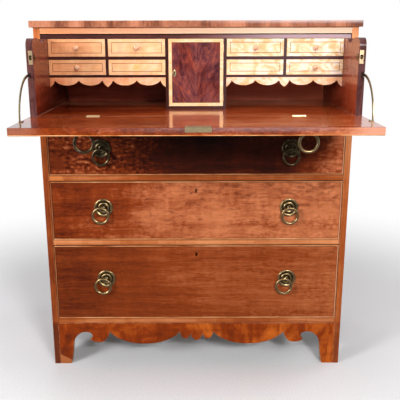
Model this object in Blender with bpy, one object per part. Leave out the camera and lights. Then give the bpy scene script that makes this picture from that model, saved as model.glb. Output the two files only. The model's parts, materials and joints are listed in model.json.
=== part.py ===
"""A mahogany secretaire chest, with its secretaire drawer pulled out and the writing fall let down.

X runs across the front, -Y is the front and Z is up. The origin is on the floor, under the middle of the whole
chest as it stands here. Every shape is worked out from the sizes named below and beside each piece.
"""

import math

import bmesh
import bpy
from mathutils import Matrix, Vector

# The carcass, in metres
CHEST_WIDTH = 1.000
CHEST_DEPTH = 0.500
SIDE_BOARD = 0.020
TOP_BOARD = 0.020
TOP_OVERHANG = 0.010
RAIL_HEIGHT = 0.019
RAIL_DEPTH = 0.060
DUSTBOARD = 0.012
BACK_BOARD = 0.012
FOOT_HEIGHT = 0.156

# The openings in the carcass, from the floor up
LOWER_OPENING = 0.267
MIDDLE_OPENING = 0.202
UPPER_OPENING = 0.1735
SECRETAIRE_OPENING = 0.2525

# The three long drawers
DRAWER_FRONT = 0.020
DRAWER_ROOM_BEHIND = 0.010
DRAWER_WALL = 0.011
DRAWER_BOTTOM = 0.008
BOX_HEADROOM = 0.014
BEAD_WIDTH = 0.004
BEAD_RISE = 0.0025
BEAD_STRAIGHT = 0.0005

# The secretaire drawer
PULLED_OUT = 0.199
SECRETAIRE_SIDE = 0.020
SECRETAIRE_SIDE_HEIGHT = 0.2375
SECRETAIRE_ROOM_BEHIND = 0.0067
SECRETAIRE_BASE = 0.022
SECRETAIRE_BACK = 0.010
SIDE_CORNER_RADIUS = 0.024
SIDE_EAR_RISE = 0.0025
SIDE_EAR_END = 0.052
SIDE_DIP = 0.013
SIDE_DIP_PLACE = 0.115
SIDE_DIP_END = 0.156

# The gallery of small drawers, pigeonholes and cupboard inside it
GALLERY_SETBACK = 0.180
GALLERY_TOP = 0.0115
FIRST_ROW = 0.0538
SECOND_ROW = 0.047
ROW_BLADE = 0.009
PIGEONHOLE_SHELF = 0.0075
CUPBOARD_PLINTH = 0.008
CUPBOARD_WIDTH = 0.1716
GALLERY_POST = 0.009
GALLERY_DIVIDER = 0.008
SMALL_DRAWER_ROOM_BEHIND = 0.0367

# The fall and its quadrant stays
FALL_THICKNESS = 0.0215
STAY_RADIUS = 0.1155
STAY_THICKNESS = 0.003

# The ring handles
PLATE_RADIUS = 0.030
RING_RADIUS = 0.0255
RING_WIRE = 0.003
HANDLE_INSET = 0.174

# Clearances
FIT = 0.0003
RUN = 0.002
SMALL_RUN = 0.0008
CUT_PAST = 0.002

# Counts of facets
RING_FACETS = 28
WIRE_FACETS = 8
PLATE_FACETS = 24
EYE_FACETS = 12
EYE_WIRE_FACETS = 6
CURVE_STEPS = 9
BEAD_STEPS = 6

# Levels and planes that follow from these sizes
LOWER_FLOOR = FOOT_HEIGHT + RAIL_HEIGHT
MIDDLE_FLOOR = LOWER_FLOOR + LOWER_OPENING + RAIL_HEIGHT
UPPER_FLOOR = MIDDLE_FLOOR + MIDDLE_OPENING + RAIL_HEIGHT
SECRETAIRE_FLOOR = UPPER_FLOOR + UPPER_OPENING + RAIL_HEIGHT
TOP_RAIL = SECRETAIRE_FLOOR + SECRETAIRE_OPENING
CARCASS_TOP = TOP_RAIL + RAIL_HEIGHT
INSIDE = CHEST_WIDTH / 2 - SIDE_BOARD
HANDLE_SPREAD = INSIDE - HANDLE_INSET
DRAWER_LENGTH = CHEST_DEPTH - BACK_BOARD - DRAWER_ROOM_BEHIND

SLIDE_LEVEL = SECRETAIRE_FLOOR + FIT
DESK_LEVEL = SLIDE_LEVEL + SECRETAIRE_BASE
DESK_HALF = INSIDE - RUN - FIT
DESK_INSIDE = DESK_HALF - SECRETAIRE_SIDE
SIDE_TOP = SLIDE_LEVEL + SECRETAIRE_SIDE_HEIGHT
FALL_LENGTH = TOP_RAIL - RUN - DESK_LEVEL
CLOSED_SETBACK = FALL_THICKNESS - BEAD_RISE

FRONT = (PULLED_OUT - CLOSED_SETBACK + FALL_LENGTH - CHEST_DEPTH) / 2
BACK = FRONT + CHEST_DEPTH
BACK_INSIDE = BACK - BACK_BOARD - FIT
HINGE_LINE = FRONT + CLOSED_SETBACK - PULLED_OUT
GALLERY_FRONT = HINGE_LINE + GALLERY_SETBACK
DESK_BACK = BACK_INSIDE - SECRETAIRE_ROOM_BEHIND - PULLED_OUT
GALLERY_BACK = DESK_BACK - SECRETAIRE_BACK - FIT
SMALL_DRAWER_LENGTH = GALLERY_BACK - GALLERY_FRONT - SMALL_DRAWER_ROOM_BEHIND

SHELF_LEVEL = SIDE_TOP - FIRST_ROW - ROW_BLADE - SECOND_ROW
CUPBOARD_HALF = CUPBOARD_WIDTH / 2
CELL_START = CUPBOARD_HALF + GALLERY_POST
CELL_WIDTH = (DESK_INSIDE - CELL_START - GALLERY_DIVIDER) / 2

# Colour, roughness and metallic value of each finish
FINISHES = {
    "mahogany": ((0.30, 0.085, 0.030), 0.32, 0.0),
    "flame_mahogany": ((0.36, 0.100, 0.028), 0.30, 0.0),
    "dark_mahogany": ((0.16, 0.035, 0.018), 0.28, 0.0),
    "rosewood": ((0.075, 0.032, 0.030), 0.35, 0.0),
    "satinwood": ((0.80, 0.50, 0.24), 0.34, 0.0),
    "oak": ((0.42, 0.27, 0.14), 0.60, 0.0),
    "brass": ((0.48, 0.36, 0.17), 0.34, 1.0),
}
SMOOTH_BELOW = math.radians(40)
EMPTY_SIZE = 0.05


def clear_scene():
    for old in list(bpy.data.objects):
        bpy.data.objects.remove(old, do_unlink=True)


def carrier(name, place, parent=None):
    """An empty on a joint's axis. Every moving piece hangs from one."""
    empty = bpy.data.objects.new(name, None)
    empty.empty_display_size = EMPTY_SIZE
    bpy.context.scene.collection.objects.link(empty)
    empty["place"] = place
    empty.parent = parent
    empty.location = Vector(place) - Vector(parent["place"] if parent else (0, 0, 0))
    return empty


def give_finish(obj, finish):
    colour, roughness, metallic = FINISHES[finish]
    material = bpy.data.materials.new(f"{obj.name}_{finish}")
    material.use_nodes = True
    shader = material.node_tree.nodes["Principled BSDF"]
    shader.inputs["Base Color"].default_value = (*colour, 1.0)
    shader.inputs["Roughness"].default_value = roughness
    shader.inputs["Metallic"].default_value = metallic
    obj.data.materials.append(material)


def add_piece(name, bm, finish, on=None, smooth=False):
    """Makes an object from a bmesh in world coordinates. Its origin goes to its carrier's place."""
    bmesh.ops.recalc_face_normals(bm, faces=bm.faces[:])
    if on:
        bmesh.ops.translate(bm, vec=-Vector(on["place"]), verts=bm.verts[:])
    mesh = bpy.data.meshes.new(name)
    bm.to_mesh(mesh)
    bm.free()
    obj = bpy.data.objects.new(name, mesh)
    bpy.context.scene.collection.objects.link(obj)
    obj.parent = on
    if smooth:
        mesh.shade_smooth()
        mesh.set_sharp_from_angle(angle=SMOOTH_BELOW)
    give_finish(obj, finish)
    return obj


def combine(obj, bm, operation):
    """Cuts a bmesh in world coordinates out of an object, or joins it on."""
    bmesh.ops.recalc_face_normals(bm, faces=bm.faces[:])
    if obj.parent:
        bmesh.ops.translate(bm, vec=-Vector(obj.parent["place"]), verts=bm.verts[:])
    tool_name = f"{obj.name}_tool_{len(obj.modifiers) + 1}"
    mesh = bpy.data.meshes.new(tool_name)
    bm.to_mesh(mesh)
    bm.free()
    tool = bpy.data.objects.new(tool_name, mesh)
    bpy.context.scene.collection.objects.link(tool)
    tool.parent = obj.parent
    tool.hide_render = True
    tool.display_type = "WIRE"
    modifier = obj.modifiers.new(tool_name, "BOOLEAN")
    modifier.operation = operation
    modifier.object = tool


def box(low, high):
    """A rectangular block between two corners."""
    bm = bmesh.new()
    size = Vector(high) - Vector(low)
    middle = (Vector(high) + Vector(low)) / 2
    bmesh.ops.create_cube(bm, size=1.0, matrix=Matrix.Translation(middle) @ Matrix.Diagonal((*size, 1.0)))
    return bm


def prism(outline, start, end, plane):
    """An outline in the plane "xy", "xz" or "yz", pushed along the third axis from start to end."""
    bm = bmesh.new()
    if plane == "xy":
        points = [(u, w, start) for u, w in outline]
        push = Vector((0, 0, end - start))
    elif plane == "xz":
        points = [(u, start, w) for u, w in outline]
        push = Vector((0, end - start, 0))
    else:
        points = [(start, u, w) for u, w in outline]
        push = Vector((end - start, 0, 0))
    face = bm.faces.new([bm.verts.new(point) for point in points])
    pushed = bmesh.ops.extrude_face_region(bm, geom=[face])
    moved = [item for item in pushed["geom"] if isinstance(item, bmesh.types.BMVert)]
    bmesh.ops.translate(bm, vec=push, verts=moved)
    return bm


def turned(profile, centre, outward, facets):
    """A profile of (radius, height) turned about the direction outward. It starts and ends on the axis."""
    bm = bmesh.new()
    turn = Vector((0, 0, 1)).rotation_difference(Vector(outward)).to_matrix()
    rows = []
    for radius, height in profile:
        if radius == 0:
            rows.append([bm.verts.new(Vector(centre) + turn @ Vector((0, 0, height)))])
            continue
        row = []
        for step in range(facets):
            angle = math.tau * step / facets
            point = Vector((radius * math.cos(angle), radius * math.sin(angle), height))
            row.append(bm.verts.new(Vector(centre) + turn @ point))
        rows.append(row)
    for lower, upper in zip(rows, rows[1:]):
        for step in range(facets):
            after = (step + 1) % facets
            corners = [lower[step % len(lower)], lower[after % len(lower)]]
            corners += [upper[after % len(upper)], upper[step % len(upper)]]
            bm.faces.new(dict.fromkeys(corners))
    return bm


def torus(centre, axis, radius, wire, facets, wire_facets):
    """A closed ring of round wire about an axis."""
    bm = bmesh.new()
    turn = Vector((0, 0, 1)).rotation_difference(Vector(axis)).to_matrix()
    rows = []
    for step in range(facets):
        angle = math.tau * step / facets
        out = Vector((math.cos(angle), math.sin(angle), 0))
        row = []
        for around in range(wire_facets):
            tilt = math.tau * around / wire_facets
            point = out * (radius + wire * math.cos(tilt)) + Vector((0, 0, wire * math.sin(tilt)))
            row.append(bm.verts.new(Vector(centre) + turn @ point))
        rows.append(row)
    for step in range(facets):
        for around in range(wire_facets):
            here, there = rows[step], rows[(step + 1) % facets]
            after = (around + 1) % wire_facets
            bm.faces.new((here[around], there[around], there[after], here[after]))
    return bm


def sector(inner, outer, first_angle, last_angle, steps):
    """The outline of part of a ring about the origin. Angles run from the front (-Y) up towards the back."""
    angles = [first_angle + (last_angle - first_angle) * step / steps for step in range(steps + 1)]
    outside = [(-outer * math.cos(angle), outer * math.sin(angle)) for angle in angles]
    inside = [(-inner * math.cos(angle), inner * math.sin(angle)) for angle in angles]
    return outside + inside[::-1]


def beaded_panel(low, high, back, face, plane):
    """A rectangle in the plane "xz" or "xy", from back to face, with a rounded bead standing round its face."""
    rows = [(0, back), (0, face - BEAD_STRAIGHT)]
    middle, height = (BEAD_WIDTH / 2, face - BEAD_STRAIGHT), BEAD_STRAIGHT - BEAD_RISE
    rows += arc(middle, BEAD_WIDTH / 2, height, math.pi, 0, BEAD_STEPS)[1:]
    rows.append((BEAD_WIDTH, face))
    bm = bmesh.new()
    loops = []
    for inset, level in rows:
        corners = [(low[0] + inset, low[1] + inset), (high[0] - inset, low[1] + inset)]
        corners += [(high[0] - inset, high[1] - inset), (low[0] + inset, high[1] - inset)]
        places = [(u, level, w) if plane == "xz" else (u, w, level) for u, w in corners]
        loops.append([bm.verts.new(place) for place in places])
    for here, there in zip(loops, loops[1:]):
        for corner in range(4):
            after = (corner + 1) % 4
            bm.faces.new((here[corner], here[after], there[after], there[corner]))
    bm.faces.new(loops[0])
    bm.faces.new(loops[-1])
    return bm


def moved(outline, across, up):
    return [(u + across, w + up) for u, w in outline]


def bowed(start, end, bow, steps):
    """Points from one place to another along a shallow curve, which stands out by bow at its middle."""
    along = Vector((end[0] - start[0], end[1] - start[1]))
    side = Vector((along.y, -along.x)).normalized()
    points = []
    for step in range(steps + 1):
        share = step / steps
        points.append(tuple(Vector(start) + along * share + side * bow * math.sin(math.pi * share)))
    return points


def arc(centre, width, height, first_angle, last_angle, steps=CURVE_STEPS):
    """Points along part of an ellipse, from one angle to another, both included."""
    points = []
    for step in range(steps + 1):
        angle = first_angle + (last_angle - first_angle) * step / steps
        points.append((centre[0] + width * math.cos(angle), centre[1] + height * math.sin(angle)))
    return points


LOBE_FULLNESS = 1.07


def lobe(start, end, lowest, steps=CURVE_STEPS):
    """A hanging scallop from one cusp to the next, which may be at different heights."""
    middle, half = (start[0] + end[0]) / 2, (end[0] - start[0]) / 2
    reach = math.asin(1 / LOBE_FULLNESS)
    full_rise = 1 - math.cos(reach)
    points = []
    for step in range(steps + 1):
        angle = reach * (2 * step / steps - 1)
        cusp = start[1] if angle < 0 else end[1]
        rise = (cusp - lowest) * (1 - math.cos(angle)) / full_rise
        points.append((middle + half * LOBE_FULLNESS * math.sin(angle), lowest + rise))
    return points


def mirrored(half):
    """A half outline from the middle outwards, with its mirror image before it."""
    return [(-u, w) for u, w in half[:0:-1]] + half


# The carcass


def top_board():
    half = CHEST_WIDTH / 2 + TOP_OVERHANG
    low = (-half, FRONT - TOP_OVERHANG, CARCASS_TOP)
    add_piece("top_board", box(low, (half, BACK, CARCASS_TOP + TOP_BOARD)), "mahogany")


SIDE_FOOT_WIDTH = 0.062
SIDE_ARCH_HEIGHT = 0.104
SIDE_ARCH_CURVE = 0.055


def side_board(name, sign):
    """A side runs down to the floor. An arch leaves a foot at its front and its back."""
    springing = SIDE_ARCH_HEIGHT - SIDE_ARCH_CURVE
    front_curve = (FRONT + SIDE_FOOT_WIDTH + SIDE_ARCH_CURVE, springing)
    back_curve = (BACK - SIDE_FOOT_WIDTH - SIDE_ARCH_CURVE, springing)
    outline = [(FRONT, 0), (FRONT + SIDE_FOOT_WIDTH, 0)]
    outline += arc(front_curve, SIDE_ARCH_CURVE, SIDE_ARCH_CURVE, math.pi, math.pi / 2)
    outline += arc(back_curve, SIDE_ARCH_CURVE, SIDE_ARCH_CURVE, math.pi / 2, 0)
    outline += [(BACK - SIDE_FOOT_WIDTH, 0), (BACK, 0)]
    outline += [(BACK, CARCASS_TOP - FIT), (FRONT, CARCASS_TOP - FIT)]
    add_piece(name, prism(outline, sign * INSIDE, sign * CHEST_WIDTH / 2, "yz"), "mahogany")


def back_panel():
    low = (-INSIDE + FIT, BACK - BACK_BOARD, FOOT_HEIGHT)
    add_piece("back_panel", box(low, (INSIDE - FIT, BACK, CARCASS_TOP - FIT)), "oak")


def top_rail():
    low = (-INSIDE + FIT, FRONT, TOP_RAIL)
    add_piece("top_rail", box(low, (INSIDE - FIT, FRONT + RAIL_DEPTH, CARCASS_TOP - FIT)), "mahogany")


def dustboard(name, floor):
    """A rail across the front, with the thinner board behind it that the drawer above runs on."""
    under = floor - RAIL_HEIGHT
    outline = [(FRONT, under), (FRONT + RAIL_DEPTH, under), (FRONT + RAIL_DEPTH, floor - DUSTBOARD)]
    outline += [(BACK_INSIDE, floor - DUSTBOARD), (BACK_INSIDE, floor), (FRONT, floor)]
    add_piece(name, prism(outline, -INSIDE + FIT, INSIDE - FIT, "yz"), "mahogany")


# The apron under the front: the widths of its scallops and feet, and their levels
PENDANT_HALF = 0.0205
SIDE_PENDANT = 0.0383
SMALL_LOBE = 0.071
HOOK_TO_CROWN = 0.013
FOOT_CURVE = 0.0455
FOOT_FLARE = 0.0095
FOOT_WIDTH = 0.039
PENDANT_LOW = 0.0895
SIDE_PENDANT_LOW = 0.0948
INNER_CUSP = 0.1132
OUTER_CUSP = 0.1215
GREAT_LOBE_LOW = 0.0758
SMALL_LOBE_LOW = 0.0815
HOOK_LEVEL = 0.0935
NOTCH = 0.009
ARCH_SPRING = 0.108
ARCH_TOP = 0.1216
FOOT_CURVE_LEVEL = 0.066
FOOT_FLARE_POWER = 1.5
APRON_BOARD = 0.020


def apron_outline():
    """Three small pendants in the middle, then on each side a great lobe, a hooked lobe and a bracket foot."""
    foot_top = INSIDE - FOOT_WIDTH - FOOT_FLARE
    crown = foot_top - FOOT_CURVE
    small_lobe_end = crown - HOOK_TO_CROWN
    great_lobe_end = small_lobe_end - SMALL_LOBE
    side_pendant_end = PENDANT_HALF + SIDE_PENDANT
    half = [(0, PENDANT_LOW)]
    half += lobe((-PENDANT_HALF, INNER_CUSP), (PENDANT_HALF, INNER_CUSP), PENDANT_LOW)[CURVE_STEPS // 2 + 1 :]
    half += lobe((PENDANT_HALF, INNER_CUSP), (side_pendant_end, OUTER_CUSP), SIDE_PENDANT_LOW)[1:]
    great_lobe = (side_pendant_end, OUTER_CUSP), (great_lobe_end, OUTER_CUSP)
    half += lobe(*great_lobe, GREAT_LOBE_LOW, 2 * CURVE_STEPS)[1:]
    half += lobe((great_lobe_end, OUTER_CUSP), (small_lobe_end, HOOK_LEVEL), SMALL_LOBE_LOW)[1:]
    notch_height = (ARCH_SPRING - HOOK_LEVEL) / 2
    half += arc((small_lobe_end, HOOK_LEVEL + notch_height), NOTCH, notch_height, 1.5 * math.pi, math.pi, 4)[1:]
    notch_end = small_lobe_end - NOTCH
    half += arc((crown, ARCH_SPRING), crown - notch_end, ARCH_TOP - ARCH_SPRING, math.pi, math.pi / 2)
    half += arc((crown, FOOT_CURVE_LEVEL), FOOT_CURVE, ARCH_TOP - FOOT_CURVE_LEVEL, math.pi / 2, 0)[1:]
    for step in range(1, CURVE_STEPS // 2 + 1):
        share = step / (CURVE_STEPS // 2)
        half.append((foot_top + FOOT_FLARE * share**FOOT_FLARE_POWER, FOOT_CURVE_LEVEL * (1 - share)))
    return half


def front_apron():
    half = apron_outline()
    outer = INSIDE - FIT
    half += [(outer, 0), (outer, FOOT_HEIGHT - FIT)]
    add_piece("front_apron", prism(mirrored(half), FRONT, FRONT + APRON_BOARD, "xz"), "flame_mahogany")


# The long drawers

KEYHOLE_RADIUS = 0.0028
KEYHOLE_SLOT = 0.0036
KEYHOLE_DROP = 0.0085


def keyhole(x, w, drop=KEYHOLE_DROP):
    """The outline of a round hole with a slot below it."""
    wide, slot = KEYHOLE_RADIUS, KEYHOLE_SLOT / 2
    meeting = math.asin(slot / wide)
    outline = arc((x, w), wide, wide, -math.pi / 2 + meeting, 1.5 * math.pi - meeting, CURVE_STEPS)
    return outline + [(x - slot, w - drop), (x + slot, w - drop)]


def long_drawer(name, floor, opening, key_level, on):
    """A front with its cockbead, and the box behind it."""
    wide = INSIDE - RUN
    low, high = floor + FIT, floor + opening - RUN
    panel = beaded_panel((-wide, low), (wide, high), FRONT + DRAWER_FRONT, FRONT, "xz")
    front = add_piece(f"{name}_front", panel, "mahogany", on, smooth=True)
    key_hole = prism(keyhole(0, key_level), FRONT - CUT_PAST, FRONT + DRAWER_FRONT + CUT_PAST, "xz")
    combine(front, key_hole, "DIFFERENCE")

    half = wide - SMALL_RUN
    start, end = FRONT + DRAWER_FRONT + FIT, FRONT + DRAWER_LENGTH
    top = floor + opening - BOX_HEADROOM
    case = add_piece(f"{name}_box", box((-half, start, low), (half, end, top)), "oak", on)
    inside = half - DRAWER_WALL
    hollow = box((-inside, start - CUT_PAST, low + DRAWER_BOTTOM), (inside, end - DRAWER_WALL, top + CUT_PAST))
    combine(case, hollow, "DIFFERENCE")


# Ring handles. Profiles are (share of the plate's radius, height)
PLATE_PROFILE = (
    (1.00, 0.0000),
    (1.00, 0.0010),
    (0.95, 0.0022),
    (0.86, 0.0030),
    (0.77, 0.0024),
    (0.73, 0.0014),
    (0.68, 0.0024),
    (0.60, 0.0030),
    (0.53, 0.0018),
    (0.32, 0.0022),
    (0.22, 0.0042),
    (0.13, 0.0052),
)
EYE_STANDOFF = 0.0125
EYE_RADIUS = 0.006
EYE_WIRE = 0.002
NECK_RADIUS = 0.0028
HANG_GAP = 0.0003


def ring_handle(name, centre, outward, lean, on):
    """A round backplate with an eye, and a ring through the eye that hangs straight down under its own weight."""
    centre, outward = Vector(centre), Vector(outward)
    profile = [(0, 0)] + [(share * PLATE_RADIUS, height) for share, height in PLATE_PROFILE]
    neck_top = EYE_STANDOFF - EYE_RADIUS
    profile += [(NECK_RADIUS, profile[-1][1]), (NECK_RADIUS, neck_top), (0, neck_top)]
    seat = centre + outward * FIT
    plate = add_piece(f"{name}_plate", turned(profile, seat, outward, PLATE_FACETS), "brass", on, smooth=True)
    eye = seat + outward * EYE_STANDOFF
    combine(plate, torus(eye, (1, 0, 0), EYE_RADIUS, EYE_WIRE, EYE_FACETS, EYE_WIRE_FACETS), "UNION")

    sag = EYE_RADIUS - (EYE_WIRE + RING_WIRE + HANG_GAP) / math.cos(lean)
    held = eye - Vector((0, 0, sag))
    ring_carrier = carrier(f"{name}_swing", held, on)
    # The ring's own plane holds X and Z, on a drawer front and under the fall alike.
    ring = torus(held - Vector((0, 0, RING_RADIUS)), (0, 1, 0), RING_RADIUS, RING_WIRE, RING_FACETS, WIRE_FACETS)
    leaning = Matrix.Translation(held) @ Matrix.Rotation(lean, 4, "Y") @ Matrix.Translation(-held)
    bmesh.ops.transform(ring, matrix=leaning, verts=ring.verts[:])
    add_piece(f"{name}_ring", ring, "brass", ring_carrier, smooth=True)


# The secretaire drawer

GROOVE_WIDTH = 0.009
HEAD_WIDTH = 0.011
GROOVE_DEPTH = 0.0036
STAY_WIDTH = 0.008
LIP_ANGLE = math.radians(91.2)
HEAD_START = math.radians(91.7)
HEAD_END = math.radians(96.0)
GROOVE_END = math.radians(187.0)
QUARTER_TURN = math.pi / 2
STAY_STEPS = 14
STAY_FOOT_LENGTH = 0.014
STAY_FOOT_PLATE = 0.0022
STAY_FOOT_SPREAD = 0.0105

CATCH_WIDTH = 0.0115
CATCH_HEIGHT = 0.038
CATCH_THICKNESS = 0.0015
CATCH_DROP = 0.0507
CATCH_LEVEL = SIDE_TOP - CATCH_DROP
CATCH_INSET = 0.0025
CATCH_MOUTH_WIDTH = 0.0078
CATCH_MOUTH_HEIGHT = 0.0134
CATCH_MOUTH_DEPTH = 0.021

THUMB_SETBACK = 0.005
THUMB_WIDTH = 0.009
THUMB_HEIGHT = 0.020
THUMB_PLATE = 0.0015
THUMB_KNOB_RADIUS = 0.0026
THUMB_KNOB_HEIGHT = 0.004
THUMB_TRAVEL = 0.005
TONGUE_HEIGHT = 0.0042
TONGUE_LENGTH = 0.012
TONGUE_REACH = 0.0050
STEM_WIDTH = 0.004
CATCH_PLAY = 0.0005


def catch_mouth(sign, depth):
    """The opening in the catch plate, carried on into the side. It is straight between two half rounds."""
    middle = sign * (DESK_INSIDE + CATCH_INSET + CATCH_WIDTH / 2)
    radius = CATCH_MOUTH_WIDTH / 2
    straight = CATCH_MOUTH_HEIGHT / 2 - radius
    outline = arc((middle, CATCH_LEVEL + straight), radius, radius, 0, math.pi)
    outline += arc((middle, CATCH_LEVEL - straight), radius, radius, math.pi, math.tau)
    return prism(outline, HINGE_LINE - CUT_PAST, HINGE_LINE + depth, "xz")


def side_outline():
    """A rounded front corner, a low ear, a dip, and then level under the gallery's top."""
    front, top, radius = HINGE_LINE, SIDE_TOP, SIDE_CORNER_RADIUS
    outline = [(front, SLIDE_LEVEL), (DESK_BACK, SLIDE_LEVEL), (DESK_BACK, top)]
    ear, bottom = top + SIDE_EAR_RISE, top - SIDE_DIP
    for start, end, high in ((SIDE_DIP_END, SIDE_DIP_PLACE, top), (SIDE_DIP_PLACE, SIDE_EAR_END, ear)):
        for step in range(CURVE_STEPS):
            share = step / CURVE_STEPS
            swell = (1 - math.cos(math.pi * share)) / 2
            level = high + (bottom - high) * (swell if high == top else 1 - swell)
            outline.append((front + start + (end - start) * share, level))
    outline.append((front + SIDE_EAR_END, ear))
    outline += arc((front + radius, ear - radius), radius, radius, QUARTER_TURN, math.pi)
    return outline


def secretaire_side(name, sign, on):
    """A side with a groove and a foot's seat for the quadrant stay, and a seat and a mortise for the catch."""
    side = add_piece(name, prism(side_outline(), sign * DESK_INSIDE, sign * DESK_HALF, "yz"), "dark_mahogany", on)
    inner, outer = sign * (DESK_HALF - GROOVE_DEPTH), sign * (DESK_HALF + CUT_PAST)
    for width, first, last in (
        (GROOVE_WIDTH, QUARTER_TURN - math.asin(SIDE_CORNER_RADIUS / STAY_RADIUS), HEAD_START),
        (HEAD_WIDTH + RUN / 2, LIP_ANGLE, GROOVE_END),
    ):
        ring = sector(STAY_RADIUS - width / 2, STAY_RADIUS + width / 2, first, last, 2 * STAY_STEPS)
        combine(side, prism(moved(ring, HINGE_LINE, DESK_LEVEL), inner, outer, "yz"), "DIFFERENCE")

    near, far = sorted((sign * (DESK_HALF - 2 * FIT - STAY_FOOT_SPREAD), outer))
    middle, half = DESK_LEVEL + STAY_RADIUS, STAY_FOOT_LENGTH / 2 + FIT
    foot_seat_back = HINGE_LINE + STAY_FOOT_PLATE + FIT
    foot_seat = box((near, HINGE_LINE - CUT_PAST, middle - half), (far, foot_seat_back, middle + half))
    combine(side, foot_seat, "DIFFERENCE")

    near = sign * (DESK_INSIDE + CATCH_INSET - FIT)
    far = sign * (DESK_INSIDE + CATCH_INSET + CATCH_WIDTH + FIT)
    half = CATCH_HEIGHT / 2 + FIT
    seat = box(
        (min(near, far), HINGE_LINE - CUT_PAST, CATCH_LEVEL - half),
        (max(near, far), HINGE_LINE + CATCH_THICKNESS + FIT, CATCH_LEVEL + half),
    )
    combine(side, seat, "DIFFERENCE")
    combine(side, catch_mouth(sign, CATCH_MOUTH_DEPTH), "DIFFERENCE")
    start = HINGE_LINE + THUMB_SETBACK - CATCH_PLAY
    end = start + STEM_WIDTH + THUMB_TRAVEL + 2 * CATCH_PLAY
    near, far = sorted((sign * (DESK_INSIDE - CUT_PAST), sign * (DESK_INSIDE + CATCH_INSET + CATCH_WIDTH / 2)))
    half = TONGUE_HEIGHT / 2 + CATCH_PLAY
    combine(side, box((near, start, CATCH_LEVEL - half), (far, end, CATCH_LEVEL + half)), "DIFFERENCE")


def catch_plate(name, sign, on):
    """A brass plate let into the front end of a side, with a mouth for the catch's tongue."""
    near, far = sign * (DESK_INSIDE + CATCH_INSET), sign * (DESK_INSIDE + CATCH_INSET + CATCH_WIDTH)
    half = CATCH_HEIGHT / 2
    low = (min(near, far), HINGE_LINE, CATCH_LEVEL - half)
    high = (max(near, far), HINGE_LINE + CATCH_THICKNESS, CATCH_LEVEL + half)
    plate = add_piece(name, box(low, high), "brass", on)
    combine(plate, catch_mouth(sign, CATCH_MOUTH_DEPTH), "DIFFERENCE")


def thumb_slide(name, sign, on):
    """The finger piece on a side's inner face, and the tongue it carries. Pushed back, it frees the fall."""
    face = sign * (DESK_INSIDE - FIT)
    start = HINGE_LINE + THUMB_SETBACK
    middle = (face, start + THUMB_WIDTH / 2, CATCH_LEVEL)
    slide = carrier(f"{name}_path", middle, on)
    half = THUMB_HEIGHT / 2
    near, far = sorted((face, face - sign * THUMB_PLATE))
    low, high = (near, start, CATCH_LEVEL - half), (far, start + THUMB_WIDTH, CATCH_LEVEL + half)
    piece = add_piece(name, box(low, high), "brass", slide)
    height, round_off = THUMB_KNOB_HEIGHT, THUMB_KNOB_RADIUS / 3
    profile = [(0, THUMB_PLATE / 2), (THUMB_KNOB_RADIUS, THUMB_PLATE / 2), (THUMB_KNOB_RADIUS, height - round_off)]
    profile += [(THUMB_KNOB_RADIUS - round_off, height), (0, height)]
    combine(piece, turned(profile, middle, (-sign, 0, 0), EYE_FACETS), "UNION")
    half = TONGUE_HEIGHT / 2
    mouth = DESK_INSIDE + CATCH_INSET + (CATCH_WIDTH - CATCH_MOUTH_WIDTH) / 2 + CATCH_PLAY
    near, far = sorted((face - sign * THUMB_PLATE / 2, sign * (mouth + TONGUE_REACH / 2)))
    stem = box((near, start, CATCH_LEVEL - half), (far, start + STEM_WIDTH, CATCH_LEVEL + half))
    combine(piece, stem, "UNION")
    near, far = sorted((sign * mouth, sign * (mouth + TONGUE_REACH)))
    low = (near, HINGE_LINE + CATCH_PLAY, CATCH_LEVEL - half)
    tongue = box(low, (far, HINGE_LINE + CATCH_PLAY + TONGUE_LENGTH, CATCH_LEVEL + half))
    combine(piece, tongue, "UNION")


HINGE_INSET = 0.1812
HINGE_PLACE = DESK_HALF - HINGE_INSET
HINGE_LENGTH = 0.038
KNUCKLE_RADIUS = 0.003
LEAF_WIDTH = 0.022
LEAF_THICKNESS = 0.0016
KNUCKLE_CLEARANCE = 0.0004
KNUCKLE_FACETS = 16


def knuckle(x, radius, length):
    profile = [(0, -length / 2), (radius, -length / 2), (radius, length / 2), (0, length / 2)]
    return turned(profile, (x, HINGE_LINE, DESK_LEVEL), (1, 0, 0), KNUCKLE_FACETS)


def cut_for_knuckle(obj, x):
    clear = KNUCKLE_CLEARANCE
    combine(obj, knuckle(x, KNUCKLE_RADIUS + clear, HINGE_LENGTH + 2 * clear), "DIFFERENCE")


def fall_hinge(name, sign, on):
    """The knuckle on the hinge line, with its leaf let into the fall's inner face."""
    x = sign * HINGE_PLACE
    hinge = add_piece(name, knuckle(x, KNUCKLE_RADIUS, HINGE_LENGTH), "brass", on)
    half = HINGE_LENGTH / 2
    low = (x - half, HINGE_LINE - LEAF_WIDTH, DESK_LEVEL - FIT - LEAF_THICKNESS)
    combine(hinge, box(low, (x + half, HINGE_LINE, DESK_LEVEL - FIT)), "UNION")


def secretaire_base(on):
    low = (-DESK_INSIDE + FIT, HINGE_LINE, SLIDE_LEVEL)
    high = (DESK_INSIDE - FIT, GALLERY_BACK, DESK_LEVEL)
    base = add_piece("secretaire_base", box(low, high), "dark_mahogany", on)
    for sign in (-1, 1):
        cut_for_knuckle(base, sign * HINGE_PLACE)


def secretaire_back(on):
    low = (-DESK_INSIDE + FIT, GALLERY_BACK + FIT, SLIDE_LEVEL)
    high = (DESK_INSIDE - FIT, DESK_BACK, SIDE_TOP)
    add_piece("secretaire_back", box(low, high), "dark_mahogany", on)


def gallery_top(on):
    low = (-DESK_HALF, GALLERY_FRONT, SIDE_TOP + FIT)
    add_piece("gallery_top", box(low, (DESK_HALF, DESK_BACK, SIDE_TOP + FIT + GALLERY_TOP)), "rosewood", on)


def cell_edges(sign, column):
    """The low and high x of a small drawer's cell. Column 0 is next to the cupboard."""
    start = CELL_START + column * (CELL_WIDTH + GALLERY_DIVIDER)
    return sorted((sign * start, sign * (start + CELL_WIDTH)))


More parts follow.
